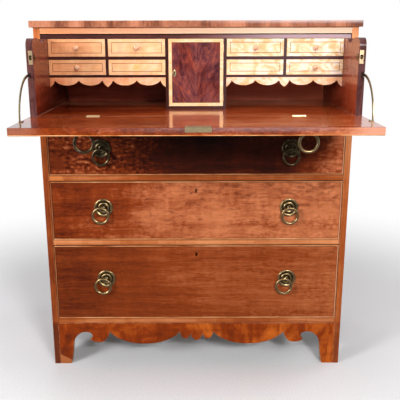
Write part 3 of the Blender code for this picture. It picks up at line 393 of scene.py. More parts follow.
class Graph(Nodes):
    """One material, with the place on its piece as x, y and z."""

    def __init__(self, name):
        self.material = bpy.data.materials.new(name)
        self.material.use_nodes = True
        super().__init__(self.material.node_tree)
        self.shader = self.tree.nodes["Principled BSDF"]
        self.place = self.node("ShaderNodeTexCoord").outputs["Object"]
        self.x, self.y, self.z = self.node("ShaderNodeSeparateXYZ", {0: self.place}).outputs

    def vector(self, operation, first, second=(0, 0, 0), third=(0, 0, 0)):
        inputs = {0: first, 1: second, 2: third}
        return self.node("ShaderNodeVectorMath", inputs, operation=operation)

    def noise(self, scales, detail=3.0, roughness=0.55, distortion=0.0, shift=(0, 0, 0), place=None):
        """Noise from 0 to 1. Its scales are one number, or one for each of X, Y and Z."""
        scales = scales if isinstance(scales, tuple) else (scales,) * 3
        where = self.vector("MULTIPLY_ADD", self.place if place is None else place, scales, shift)
        made = self.node("ShaderNodeTexNoise", {"Vector": where.outputs[0], "Scale": 1.0, "Detail": detail})
        made.inputs["Roughness"].default_value = roughness
        made.inputs["Distortion"].default_value = distortion
        return made.outputs["Fac"]

    def blend(self, share, first, second, mode="MIX"):
        inputs = {0: share, 6: first, 7: second}
        return self.node("ShaderNodeMix", inputs, data_type="RGBA", blend_type=mode).outputs[2]

    def tint(self, colour, shade, *shares):
        """Lays a shade over a colour, as far as the product of the shares says."""
        return self.blend(self.product(*shares), colour, paint(*shade))

    def stops(self, value, colours, places=None, easing="LINEAR"):
        """Colours spread evenly from 0 to 1, or at the places given."""
        made = self.node("ShaderNodeValToRGB", {0: value})
        made.color_ramp.interpolation = easing
        places = places or [index / (len(colours) - 1) for index in range(len(colours))]
        elements = made.color_ramp.elements
        while len(elements) < len(colours):
            elements.new(0.5)
        for element, place, colour in zip(elements, places, colours):
            element.position = place
            element.color = colour
        return made.outputs[0]

    def ramp(self, value, shades, places=None):
        return self.stops(value, [paint(*shade) for shade in shades], places)

    def drift(self, value, span, levels):
        """A level that changes smoothly over a span of places. Levels are from -1 to 1."""
        share = self.math("DIVIDE", self.add(value, -span[0]), span[1] - span[0])
        greys = [(*[(level + 1) / 2] * 3, 1.0) for level in levels]
        return self.add(self.times(self.stops(share, greys, easing="EASE"), 2.0), -1.0)

    def inset(self, low, high, axes):
        """The least distance inwards from the sides of a box, across the named axes."""
        least = None
        for axis in axes:
            index = "xyz".index(axis)
            value = (self.x, self.y, self.z)[index]
            middle, half = (low[index] + high[index]) / 2, (high[index] - low[index]) / 2
            gap = self.minus(half, self.math("ABSOLUTE", self.add(value, -middle)))
            least = gap if least is None else self.math("MINIMUM", least, gap)
        return least

    def arris(self, plane, strength):
        """The rounded edges of a front face, rubbed by hands and given a painted highlight, in broken
        stretches.
        """
        normal = self.node("ShaderNodeNewGeometry").outputs["True Normal"]
        facing_front = self.math("ABSOLUTE", self.node("ShaderNodeSeparateXYZ", {0: normal}).outputs[1])
        turned_away = self.smooth(facing_front, 0.985, 0.90)
        patch = self.smooth(self.noise(30.0, 2.0), 0.35, 0.6)
        return self.product(turned_away, self.smooth(self.y, plane, plane - 0.0004), patch, strength)

    def bump(self, height, distance):
        made = self.node("ShaderNodeBump", {"Strength": 1.0, "Distance": distance, "Height": height})
        self.feed(self.shader.inputs["Normal"], made.outputs[0])

    def finish(self, colour, roughness, coat=0.0, coat_roughness=0.1, metallic=0.0, specular=0.5):
        self.feed(self.shader.inputs["Base Color"], colour)
        self.feed(self.shader.inputs["Roughness"], roughness)
        self.shader.inputs["Metallic"].default_value = metallic
        self.shader.inputs["Coat Weight"].default_value = coat
        self.shader.inputs["Coat Roughness"].default_value = coat_roughness
        self.shader.inputs["Specular IOR Level"].default_value = specular
        return self.material


# Woods and polish


def along_grain(axis, along, across):
    return tuple(along if part else across for part in AXES[axis])


def wood(g, kind, grain, seed, tone=0.0):
    """The colour of a wood and its relief. The grain runs along an axis, and tone lightens or darkens it."""
    (dark, mid, light), strengths = WOODS[kind]
    look = dict(zip(FIGURES, strengths))
    shift = tuple(part * SEED_STEP * seed for part in SEED_PARTS)
    wobble = g.noise(along_grain(grain, *WOBBLE), 2.0, shift=shift)
    across = along_grain(grain, 0.0, 1.0)
    place = g.vector("MULTIPLY_ADD", across, g.swing(wobble, 4 * look["wave"]), g.place).outputs[0]

    def layer(scales, detail, distortion=0.0):
        return g.noise(along_grain(grain, *scales), detail, 0.6, distortion, shift, place)

    fine = layer(FINE, 2.0)
    value = g.add(0.5, g.swing(layer(STREAK, 4.0), look["streak"]))
    value = g.add(value, g.swing(fine, look["fine"]))
    value = g.add(value, g.swing(layer(BLOTCH, 2.0), look["blotch"]))
    value = g.add(value, g.swing(layer(RIBBON, 3.0, 0.6), look["ribbon"]))
    value = g.add(value, tone)
    deep = [0.45 * part for part in dark]
    pale = [min(255, part + 0.4 * (part - below)) for part, below in zip(light, mid)]
    colour = g.ramp(g.times(g.add(value, 0.5), 0.5), (deep, dark, mid, light, pale))
    pore = g.smooth(layer(PORE, 1.0), 0.58, 0.82)
    colour = g.tint(colour, deep, pore, look["pores"])
    return colour, g.add(g.times(fine, 0.5), g.times(pore, -0.6))


def polished(g, colour, relief, roughness, coat, coat_roughness=0.12, bump=0.00006):
    """French polish: a clear coat over the wood, with patches where it is thinner and duller."""
    g.bump(relief, bump)
    rough = g.add(g.swing(g.noise(11.0, 4.0), 0.22), roughness)
    return g.finish(colour, rough, coat, coat_roughness, specular=0.18)


def worn(g, colour, shade, distance, wide, strength=0.7, scale=60.0):
    """Rubs an arris paler where the distance to it is small, in broken patches."""
    patch = g.smooth(g.noise(scale), 0.36, 0.62)
    return g.tint(colour, shade, g.smooth(distance, wide, 0.0), patch, strength)


def darken_with_dirt_and_shade(g, colour, distance, wide, strength, shade=DIRT_AND_SHADE):
    """Darkens a corner or a joint: wax and dust that have settled there, and painted shade."""
    return g.tint(colour, shade, g.smooth(distance, wide, 0.0), strength)


def scratched(g, colour, x, z, run, rise):
    """A pale scratch on a front face, from a place given as x and z."""
    length = math.hypot(run, rise)
    right, up = g.add(g.x, -x), g.add(g.z, -z)
    along = g.add(g.times(right, run / length), g.times(up, rise / length))
    aside = g.add(g.times(right, -rise / length), g.times(up, run / length))
    within = g.near(along, length / 2, length / 2, 0.002)
    return g.tint(colour, SCRATCHED, within, g.near(aside, 0.0, SCRATCH_HALF, SCRATCH_HALF), 0.35)


def paled_by_painted_highlight(g, colour, highlight_levels=CREAM_PAINTED_HIGHLIGHT):
    """Satinwood paled to cream towards the right, a painted highlight where the light is strongest, with a
    swirl of the old yellow left in it.
    """
    swirl = g.noise((20.0, 1.0, 34.0), 3.0, 0.6, 1.6, shift=(0, 0, 4.0))
    cream = g.ramp(swirl, CREAM, (0.38, 0.50, 0.60))
    return g.blend(g.drift(g.x, GALLERY_SPAN, highlight_levels), colour, cream)


def front_of(g, plane, soft=0.0004):
    """1 on faces that lie in front of a plane."""
    return g.smooth(g.y, plane + soft, plane)


def brass(name):
    """Aged brass: a cloudy, speckled patina, and darkened lacquer in a plate's hollows."""
    shades, roughness, patina = BRASSES[name]
    g = Graph(name)
    cloud = g.noise(90.0, 4.0, 0.6)
    speck = g.noise(700.0, 2.0)
    value = g.add(g.add(g.swing(cloud, 1.6 * patina), 0.5), g.swing(speck, 0.3))
    if name == "plate_brass":
        radius = g.math("SQRT", g.add(g.times(g.x, g.x), g.times(g.y, g.y)))
        for share, width in PLATE_HOLLOWS:
            hollow = g.near(radius, share * PLATE_RADIUS, width * PLATE_RADIUS / 2, width * PLATE_RADIUS)
            value = g.add(value, g.times(hollow, -0.55))
    g.bump(g.add(cloud, g.times(speck, 0.4)), 0.00012)
    return g.finish(g.ramp(value, shades), g.add(g.times(value, -0.16), roughness + 0.08), metallic=1.0)


# Meshes and pieces


def add_object(name, data):
    obj = bpy.data.objects.new(name, data)
    bpy.context.scene.collection.objects.link(obj)
    return obj


def place_piece(name, mesh, body, material):
    obj = add_object(name, mesh)
    mesh.shade_smooth()
    mesh.set_sharp_from_angle(angle=SHARP_OVER)
    mesh.materials.clear()
    mesh.materials.append(material)
    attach(obj, body)
    return obj


def to_mesh(bm, name):
    bmesh.ops.recalc_face_normals(bm, faces=bm.faces[:])
    mesh = bpy.data.meshes.new(name)
    bm.to_mesh(mesh)
    bm.free()
    return mesh


def softened(node, material, width, change=None):
    """Stands a copy with rounded arrises in a node's place."""
    bm = bmesh.new()
    bm.from_mesh(frame["nodes"][node].data)
    bmesh.ops.remove_doubles(bm, verts=bm.verts[:], dist=WELD)
    bmesh.ops.dissolve_limit(bm, angle_limit=FLAT_WITHIN, verts=bm.verts[:], edges=bm.edges[:])
    if change:
        change(bm)
    bmesh.ops.connect_verts_concave(bm, faces=bm.faces[:])
    obj = place_piece(f"{node}_finished", to_mesh(bm, node), BODY_OF[node], material)
    bevel = obj.modifiers.new("arrises", "BEVEL")
    bevel.width = width
    bevel.segments = 2
    bevel.limit_method = "ANGLE"
    bevel.angle_limit = ARRIS_OVER
    flats = obj.modifiers.new("flats", "WEIGHTED_NORMAL")
    flats.keep_sharp = True
    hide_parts(node)
    return obj


def bridge(bm, lower, upper):
    """Faces between two closed rows of as many points each."""
    for step in range(len(lower)):
        after = (step + 1) % len(lower)
        bm.faces.new((lower[step], lower[after], upper[after], upper[step]))


def turned(profile, facets):
    """A profile of (radius, height) turned about local Z."""
    bm = bmesh.new()
    angles = [math.tau * step / facets for step in range(facets)]
    rows = []
    for radius, height in profile:
        rows.append([bm.verts.new((radius * math.cos(a), radius * math.sin(a), height)) for a in angles])
    for lower, upper in zip(rows, rows[1:]):
        bridge(bm, lower, upper)
    bm.faces.new(rows[0])
    bm.faces.new(rows[-1])
    return bm


def tube_ring(bm, centre, axis, radius, wire, facets, wire_facets, swell=0.0):
    """A ring of round wire, a little thicker at its lowest point where swell is given."""
    turn = Vector((0, 0, 1)).rotation_difference(Vector(axis)).to_matrix()
    rows = []
    for step in range(facets):
        angle = math.tau * step / facets
        out = Vector((math.cos(angle), math.sin(angle), 0))
        low = -(turn @ out).z
        thick = wire * (1 + swell * (low - 1))
        row = []
        for around in range(wire_facets):
            tilt = math.tau * around / wire_facets
            point = out * (radius + thick * math.cos(tilt)) + Vector((0, 0, thick * math.sin(tilt)))
            row.append(bm.verts.new(Vector(centre) + turn @ point))
        rows.append(row)
    for here, there in zip(rows, rows[1:] + rows[:1]):
        bridge(bm, here, there)


def facing(centre, outward):
    """The placing matrix that turns local Z to outward."""
    turn = Vector((0, 0, 1)).rotation_difference(Vector(outward)).to_matrix()
    return Matrix.Translation(centre) @ turn.to_4x4()


def plate_with_hole(outer, inner, height, dome=0.0):
    """A flat ring between two outlines of as many points each, with a slightly raised middle."""
    bm = bmesh.new()
    middle = [tuple((a + b) / 2 for a, b in zip(p, q)) for p, q in zip(outer, inner)]
    sections = ((outer, 0.0), (outer, height * 0.6), (middle, height + dome), (inner, height), (inner, 0.0))
    rows = [[bm.verts.new((u, w, level)) for u, w in outline] for outline, level in sections]
    for lower, upper in zip(rows, rows[1:] + rows[:1]):
        bridge(bm, lower, upper)
    return bm


def keyhole_outline(grow):
    """A keyhole about local zero, as evenly spread points: the round above and the slot below."""
    wide, slot, drop = KEYHOLE_RADIUS + grow, KEYHOLE_SLOT / 2 + grow, KEYHOLE_DROP + grow
    points = []
    for step in range(KEYHOLE_POINTS):
        angle = math.pi / 2 + math.tau * (step + 0.5) / KEYHOLE_POINTS
        across, up = math.cos(angle), math.sin(angle)
        reach = wide
        if up < 0 and abs(across) * wide < slot:
            reach = max(wide, min(drop / -up, slot / max(abs(across), 0.0001)))
        points.append((reach * across, reach * up))
    return points


# Carcass


def bare_boards(name, kind, grain, seed, roughness, tone=None):
    """Wood without a coat of polish."""
    g = Graph(name)
    colour, relief = wood(g, kind, grain, seed, g.drift(g.x, TOP_SPAN, tone) if tone else 0.0)
    return polished(g, colour, relief, roughness, 0.0)


def top_board():
    """The top's front edge is crossbanded: short pieces of veneer set upright side by side."""
    low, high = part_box("top_board")
    g = Graph("top_board_polish")
    face, relief = wood(g, "mahogany", "x", 11, g.drift(g.x, TOP_SPAN, TONES["top_face"]))
    flame = g.noise((120.0, 20.0, 30.0), 3.0, 0.6, 1.0, shift=(2.0, 0, 0))
    piece = g.math("SNAP", g.times(g.noise((13.0, 0.0, 0.0), 1.0), 1.6), 0.12)
    value = g.add(g.add(piece, -0.55), g.swing(flame, 0.7))
    value = g.add(value, g.drift(g.x, TOP_SPAN, TONES["top_band"]))
    band = g.ramp(g.add(value, 0.5), CROSSBAND)
    band = worn(g, band, RUBBED_BAND, g.inset(low, high, "z"), 0.0022)
    haze = g.smooth(g.z, low.z + 0.008, high.z)
    band = g.tint(band, HAZY_BAND, g.smooth(g.x, -0.05, 0.30), haze, 0.65)
    colour = g.blend(front_of(g, low.y + 0.0007), face, band)
    return polished(g, colour, relief, 0.56, 0.05, 0.40)


def carcass_side(side, seed, foot_tone):
    """A side board. Its front edge shows as a stile of upright grain, dark where it turns into the foot."""
    low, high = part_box(f"{side}_side")
    g = Graph(f"{side}_side_polish")
    board, relief = wood(g, "mahogany", "z", seed, g.drift(g.z, HEIGHT_SPAN, TONES["side_face"]))
    tone = g.drift(g.z, HEIGHT_SPAN, TONES[f"{side}_stile"])
    tone = g.add(tone, g.times(g.smooth(g.z, *FOOT_JOINT), foot_tone))
    stile = wood(g, "orange", "z", seed + 3, tone)[0]
    stile = worn(g, stile, RUBBED_STILE, g.inset(low, high, "x"), 0.0018, 0.8)
    colour = g.blend(front_of(g, low.y + 0.0008), board, stile)
    return polished(g, colour, relief, 0.32, 0.28)


def top_rail():
    """The rail under the top, paled to cream towards its right end by a painted highlight."""
    g = Graph("top_rail_polish")
    colour, relief = wood(g, "orange", "x", 4, g.drift(g.x, TOP_SPAN, TONES["top_rail"]))
    colour = g.tint(colour, RAIL_HIGHLIGHT_CREAM, g.drift(g.x, FRONT_SPAN, RAIL_PAINTED_HIGHLIGHT))
    return polished(g, colour, relief, 0.32, 0.15)


def rail(node, seed):
    """A rail's face is veneered along its length, and the dustboard behind it is bare."""
    low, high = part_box(node)
    g = Graph(f"{node}_wood")
    piece = g.math("SNAP", g.times(g.noise((2.6, 0, 0), 0.0, shift=(seed, 0, 0)), 3.0), 0.3)
    tone = g.add(g.drift(g.x, FRONT_SPAN, TONES[node]), g.swing(piece, 0.35, 1.35))
    face, relief = wood(g, "orange", "x", seed, tone)
    if node == "middle_dustboard":
        slanted = g.add(g.x, g.times(g.add(g.z, -high.z), 0.6))
        face = g.tint(face, RAIL_REPAIR, g.smooth(slanted, low.x + 0.0400, low.x + 0.0370), 0.7)
    edge = g.inset((low.x, 0, high.z - RAIL_HEIGHT), (high.x, 0, high.z), "xz")
    # painted shadow along the face's edges, cast by the cockbeads, then dirt and painted shade in the
    # corners
    face = g.tint(face, RAIL_EDGE_SHADOW, g.smooth(edge, 0.0080, 0.0020), 0.35)
    face = darken_with_dirt_and_shade(g, face, edge, DIRT_AND_SHADE_WIDTH, 0.5)
    bare = wood(g, "oak", "x", seed)[0]
    colour = g.blend(g.smooth(g.y, FRONT + RAIL_FACING, FRONT + RAIL_FACING + 0.004), face, bare)
    return polished(g, colour, relief, 0.36, 0.2)


def apron():
    """Flame figure that runs up and down on the feet and the lobes, and changes from piece to piece."""
    low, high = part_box("front_apron")
    g = Graph("front_apron_flame")
    plume = g.smooth(g.noise((17.0, 1.0, 9.0), 3.0, 0.6, 1.4, shift=(4.0, 0, 1.0)), 0.30, 0.70)
    tone = g.add(g.add(g.times(plume, 0.45), -0.22), g.drift(g.x, FRONT_SPAN, TONES["apron"]))
    colour, relief = wood(g, "flame", "z", 5, tone)
    # dirt and painted shade along the top, under the rail above
    colour = darken_with_dirt_and_shade(g, colour, g.minus(high.z, g.z), 0.0030, 0.6)
    rise = g.add(g.z, g.times(g.add(g.x, 0.4400), 0.55))
    colour = g.tint(colour, CHIPPED_FOOT, g.smooth(rise, 0.018, 0.012), g.smooth(g.x, -0.42, -0.43), 0.6)
    # worn arrises with a painted highlight on them
    colour = g.tint(colour, APRON_ARRIS_WEAR_AND_HIGHLIGHT, g.arris(low.y + 0.0020, 0.6))
    bare = wood(g, "oak", "x", 6)[0]
    colour = g.blend(g.smooth(g.y, low.y + 0.004, low.y + 0.006), colour, bare)
    return polished(g, colour, relief, 0.34, 0.12)


def build_carcass():
    softened("top_board", top_board(), 0.0010)
    softened("left_side", carcass_side("left", 1, -0.40), 0.0009)
    softened("right_side", carcass_side("right", 2, -0.20), 0.0009)
    softened("back_panel", bare_boards("back_panel_boards", "oak", "z", 3, 0.7), 0.0006)
    softened("top_rail", top_rail(), 0.0006)
    for index, node in enumerate(("bottom_board", "lower_dustboard", "middle_dustboard", "upper_dustboard")):
        softened(node, rail(node, 6 + index), 0.0006)
    softened("front_apron", apron(), 0.0016)


# Long drawers


def drawer_front(node, kind, seed, tone_and_painted_light, mottle, rosy, flecks):
    """A long drawer's veneer inside its cockbead."""
    low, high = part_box(node)
    width = (low.x, high.x)
    g = Graph(f"{node}_veneer")
    spots = g.noise((66.0, 66.0, 100.0), 1.5, 0.45, 0.4, shift=(seed, 0, 0))
    clumps = g.smooth(g.noise((13.0, 13.0, 19.0), 2.0), 0.3, 0.6)
    clumps = g.product(clumps, g.drift(g.x, width, mottle), MOTTLE)
    # painted light: the levels paint the upper drawer's shadow and the middle drawer's sheen
    tone = g.add(g.drift(g.x, width, tone_and_painted_light), g.swing(spots, clumps))
    colour, relief = wood(g, kind, "x", seed, tone)
    colour = g.blend(g.times(g.smooth(g.x, -0.05, 0.42), rosy), colour, paint(*ROSY), "MULTIPLY")
    if flecks:
        spot = g.noise((24.0, 24.0, 66.0), 3.0, 0.6, 0.8, shift=(3.1, 0, seed))
        upper = g.smooth(g.z, low.z + 0.25 * (high.z - low.z), high.z)
        where = g.times(g.add(g.times(upper, 0.12), -0.05), g.smooth(g.x, -0.25, 0.1))
        colour = g.tint(colour, FLECK, g.smooth(g.add(spot, where), 0.48, 0.80), flecks)
    # dirt and painted shade in the corner inside the cockbead
    inside = g.add(g.inset(low, high, "xz"), -BEAD_WIDTH)
    colour = darken_with_dirt_and_shade(g, colour, inside, DIRT_AND_SHADE_WIDTH, 0.65)
    bead = g.ramp(g.noise((14.0, 200.0, 14.0)), COCKBEAD, (0.3, 0.5, 0.7))
    upright = g.smooth(g.math("ABSOLUTE", g.x), high.x - BEAD_WIDTH - 0.0004, high.x - BEAD_WIDTH)
    bead = g.tint(bead, COCKBEAD_LEFT, upright, g.smooth(g.x, 0.2, 0.0), 0.75)
    bead = g.tint(bead, COCKBEAD_RIGHT, upright, g.smooth(g.x, 0.0, 0.2), 0.75)
    colour = g.blend(g.smooth(g.y, FRONT - 0.0002, FRONT - 0.0012), colour, bead)
    return polished(g, colour, relief, 0.36, 0.04, 0.20)


def drawer_box(node, seed):
    """Bare quartered oak, with dovetails where the sides meet the back."""
    low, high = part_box(node)
    g = Graph(f"{node}_oak")
    colour, relief = wood(g, "oak", "y", seed)
    tails = (high.z - low.z) / 4
    phase = g.math("PINGPONG", g.add(g.z, -low.z), tails / 2)
    depth = g.math("MINIMUM", g.add(g.y, -low.y), g.minus(high.y, g.y))
    slant = g.add(phase, g.times(depth, 0.25))
    tail = g.smooth(slant, 0.0125, 0.0129)
    colour = g.tint(colour, DOVETAIL, tail, g.smooth(depth, 0.0112, 0.0108), 0.65)
    line = g.near(slant, 0.0127, 0.0001, 0.0003)
    colour = g.tint(colour, DOVETAIL_LINE, line, g.smooth(depth, 0.0116, 0.0112), 0.8)
    g.bump(relief, 0.0002)
    return g.finish(colour, 0.68)


def build_long_drawers():
    for name, look in DRAWER_LOOKS.items():
        softened(f"{name}_front", drawer_front(f"{name}_front", **look), 0.0004)
        softened(f"{name}_box", drawer_box(f"{name}_box", look["seed"]), 0.0008)


# Secretaire drawer and its fall


def secretaire_side(side, sign):
    """Rosewood on the ends, the top edge and in the cuts, and mahogany on the two faces, with painted light
    and shade.
    """
    node = f"secretaire_{side}_side"
    low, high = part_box(node)
    g = Graph(f"{node}_wood")
    across = g.times(g.x, sign)
    # painted light: the inner face lighter towards the front and higher up, the left side darker than the
    # right
    lit = g.add(g.drift(g.y, (HINGE_LINE, GALLERY_FRONT), TONES["side_depth"]), -0.12 if sign < 0 else 0.10)
    lit = g.add(lit, g.drift(g.z, (low.z, high.z), TONES["side_height"]))
    inner, relief = wood(g, "inner", "y", 21 + sign, lit)
    inner = g.tint(inner, HAZY_SIDE, g.smooth(g.z, high.z - 0.20, high.z - 0.04), 0.35)
    outer = wood(g, "mahogany", "y", 25 + sign)[0]
    end = wood(g, "rosewood", "z", 27 + sign)[0]
    # painted sheen: paler patches on the rosewood ends
    sheen = g.noise((90.0, 20.0, 34.0), 3.0, 0.6, 0.8)
    end = g.tint(end, PAINTED_SHEEN_END, g.smooth(sheen, 0.42, 0.68), 0.4)
    # painted shadow: darker in the cuts behind the front edge and below the top
    behind = g.smooth(g.y, low.y + 0.0010, low.y + 0.0016)
    end = g.tint(end, PAINTED_SHADOW_CUT, behind, g.smooth(g.z, high.z - 0.030, high.z - 0.034), 0.8)
    colour = g.blend(g.smooth(across, DESK_INSIDE + 0.0002, DESK_INSIDE + 0.0001), end, inner)
    colour = g.blend(g.smooth(across, DESK_OUTSIDE - 0.0002, DESK_OUTSIDE - 0.0001), colour, outer)
    return polished(g, colour, relief, 0.26, 0.08)


def desk_board():
    """The writing surface: dirt and painted shade at the fall and the back, pale joints at its sides, a pale
    band under the gallery.
    """
    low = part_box("secretaire_base")[0]
    g = Graph("secretaire_base_polish")
    tone = g.drift(g.x, FRONT_SPAN, TONES["desk"])
    # painted light: lighter towards the back, under the gallery
    tone = g.add(tone, g.drift(g.y, (HINGE_LINE, RECESS_BACK), TONES["desk_depth"]))
    colour, relief = wood(g, "desk", "x", 31, tone)
    # dirt and painted shade at the joint with the fall
    colour = darken_with_dirt_and_shade(g, colour, g.add(g.y, -low.y), DIRT_AND_SHADE_WIDTH, 0.8)
    joint = g.near(g.math("ABSOLUTE", g.x), DESK_INSIDE - 0.0020, 0.0010, 0.0010)
    colour = g.tint(colour, DESK_JOINT, joint, 0.7)
    # a pale band across the desk, under the gallery's front
    colour = g.tint(colour, DESK_PALE_BAND, g.near(g.y, RECESS_BACK - 0.090, 0.030, 0.030), 0.45)
    # painted shade, with dirt, darkening the desk towards the back under the gallery
    colour = darken_with_dirt_and_shade(g, colour, g.minus(RECESS_BACK, g.y), 0.020, 0.7)
    return polished(g, colour, relief, 0.20, 0.5, 0.06, 0.00003)


def fall_inside(g, high):
    """The fall's writing surface, rubbed pale where it meets the desk, with a pale joint line of wear and
    painted highlight, and finely scratched.
    """
    top, relief = wood(g, "desk", "x", 33, g.drift(g.x, FRONT_SPAN, TONES["fall_inside"]))
    gap = g.minus(high.y, g.y)
    top = worn(g, top, RUBBED_FALL, gap, 0.0045, 1.0, 25.0)
    # a pale line at the joint: worn arris and painted highlight
    top = g.tint(top, FALL_JOINT_WEAR_AND_HIGHLIGHT, g.near(gap, 0.0014, 0.0006, 0.0006), 0.5)
    scratch = g.noise((60.0, 900.0, 1.0), 2.0, 0.5, 1.5)
    return g.tint(top, FALL_SCRATCHED, g.smooth(scratch, 0.70, 0.76), 0.25), relief


def fall_edge(g, low, high):
    """The free edge, grey in the middle with a painted sheen, paler at its ends and scratched."""
    mottle = g.noise((90.0, 1.0, 170.0), 3.0, 0.6, 0.6, shift=(1.5, 0, 0))
    tone = g.add(g.drift(g.x, FRONT_SPAN, TONES["fall_edge"]), g.swing(mottle, 1.1))
    edge = wood(g, "mahogany", "x", 37, tone)[0]
    # painted sheen: purple-grey over the middle, stronger towards the top
    middle = g.times(g.smooth(g.x, -0.40, 0.16), g.smooth(g.x, 0.40, 0.30))
    grey = g.product(middle, g.smooth(g.z, low.z + 0.003, high.z), 0.65)
    edge = g.blend(grey, edge, g.blend(mottle, *[paint(*shade) for shade in FALL_SHEEN_GREY]))
    edge = g.tint(edge, FALL_RIGHT, g.smooth(g.x, 0.36, 0.45), 0.75)
    edge = g.tint(edge, FALL_LEFT, g.smooth(g.x, -0.38, -0.44), 0.4)
    for scratch in FALL_SCRATCHES:
        edge = scratched(g, edge, *scratch)
    return edge


def fall():
    """Polished inside, burr mahogany outside, and a banded free edge over its cockbead."""
    low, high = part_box("fall_front")
    g = Graph("fall_front_polish")
    top, relief = fall_inside(g, high)
    outside = wood(g, "mahogany", "x", 35, g.drift(g.x, FRONT_SPAN, TONES["fall_outside"]))[0]
    bead = g.ramp(g.noise((16.0, 1.0, 1.0), 2.0), FALL_BEAD, (0.35, 0.5, 0.65))
    bead_top = low.z + BEAD_RISE
    edge = g.blend(g.smooth(g.z, bead_top + 0.0008, bead_top), fall_edge(g, low, high), bead)
    at_end = g.smooth(g.math("ABSOLUTE", g.x), high.x - 0.0010, high.x - 0.0006)
    edges = g.math("MAXIMUM", front_of(g, low.y + 0.0006), at_end)
    colour = g.blend(g.smooth(g.z, high.z - 0.0010, high.z - 0.0006), outside, top)
    colour = g.blend(g.times(edges, g.smooth(g.z, high.z - 0.0002, high.z - 0.0007)), colour, edge)
    colour = g.blend(g.smooth(g.z, bead_top, bead_top - 0.0008), colour, bead)
    return polished(g, colour, relief, 0.22, 0.55, 0.07, 0.00003)


def build_secretaire():
    for side, sign in (("left", -1), ("right", 1)):
        softened(f"secretaire_{side}_side", secretaire_side(side, sign), 0.0006)
        softened(f"{side}_valance", valance(f"{side}_valance", 44 + sign), 0.0003)
    softened("secretaire_base", desk_board(), 0.0005)
    # painted light: the recess back lighter towards the right
    back = bare_boards("secretaire_back_wood", "backboard", "x", 43, 0.4, TONES["recess_back"])
    softened("secretaire_back", back, 0.0005)
    softened("gallery_top", gallery_top(), 0.0006)
    softened("gallery_partitions", partitions(), 0.0003)
    softened("fall_front", fall(), 0.0006)
    softened("cupboard_door", cupboard_door(), 0.0004)


# Gallery


def gallery_top():
    """The rosewood facing over the small drawers, greyed towards the right by a painted reflection."""
    g = Graph("gallery_top_polish")
    colour, relief = wood(g, "rosewood", "x", 45, g.drift(g.x, TOP_SPAN, TONES["gallery_top"]))
    # painted reflection: a pale grey-pink over the right part
    colour = g.tint(colour, PAINTED_REFLECTION_ROSEWOOD, g.smooth(g.x, 0.0, 0.32), 0.7)
    return polished(g, colour, relief, 0.26, 0.4)


def partitions():
    """Rosewood on the front edges of the posts and shelves, and dark mahogany inside the cells."""
    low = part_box("gallery_partitions")[0]
    g = Graph("gallery_partitions_wood")
    inner, relief = wood(g, "inner", "x", 41, -0.1)
    face = wood(g, "divider", "x", 42)[0]
    # painted highlight: a grey-purple gleam on the front edges, stronger towards the right
    face = g.tint(face, PAINTED_HIGHLIGHT_DIVIDER, g.smooth(g.x, -0.10, 0.30), 0.25)
    colour = g.blend(front_of(g, low.y + 0.0020), inner, face)
    return polished(g, colour, relief, 0.32, 0.1)


def valance(node, seed):
    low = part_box(node)[0]
    g = Graph(f"{node}_satinwood")
    colour, relief = wood(g, "valance", "z", seed, g.drift(g.x, GALLERY_SPAN, TONES["valance"]))
    # painted highlight: paler cream towards the right
    colour = paled_by_painted_highlight(g, colour, VALANCE_PAINTED_HIGHLIGHT)
    colour = g.tint(colour, VALANCE_BACK, g.smooth(g.y, low.y + 0.0012, low.y + 0.0018))
    return polished(g, colour, relief, 0.30, 0.3)


def banded(g, low, high, centre, seed, string):
    """Satinwood crossbanding outside a dark string, round a centre veneer."""
    edge = g.inset(low, high, "xz")
    band = wood(g, "satinwood", "z", seed, g.drift(g.x, GALLERY_SPAN, TONES["gallery_band"]))[0]
    # painted highlight: the band paler cream towards the right
    colour = g.blend(g.smooth(edge, BAND_WIDTH - 0.0002, BAND_WIDTH + 0.0002), paled_by_painted_highlight(g, band), centre)
    return g.tint(colour, STRING, g.near(edge, BAND_WIDTH, string / 2, 0.0004), 0.85)


def small_drawer(node, seed, lost_knob):
    """Satinwood on the front, with a clean patch where a knob is lost, and a bare box."""
    low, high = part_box(node)
    g = Graph(f"{node}_satinwood")
    centre, relief = wood(g, "satinwood", "x", seed, g.drift(g.x, GALLERY_SPAN, TONES["small_drawer"]))
    # painted highlight: paler cream towards the right
    centre = paled_by_painted_highlight(g, centre)
    if lost_knob:
        across = g.math("ABSOLUTE", g.add(g.x, -(low.x + high.x) / 2))
        up = g.math("ABSOLUTE", g.add(g.z, -(low.z + high.z) / 2))
        patch = g.product(g.smooth(across, PATCH_HALF[0], 0.008), g.smooth(up, PATCH_HALF[1], 0.007))
        centre = g.tint(centre, LOST_KNOB, patch, g.smooth(g.noise(160.0, 2.0), 0.35, 0.6))
    colour = banded(g, low, high, centre, seed + 50, 0.0014)
    bare = wood(g, "oak", "y", seed)[0]
    colour = g.blend(g.smooth(g.y, GALLERY_FRONT + 0.0014, GALLERY_FRONT + 0.0018), colour, bare)
    return polished(g, colour, relief, 0.28, 0.35)


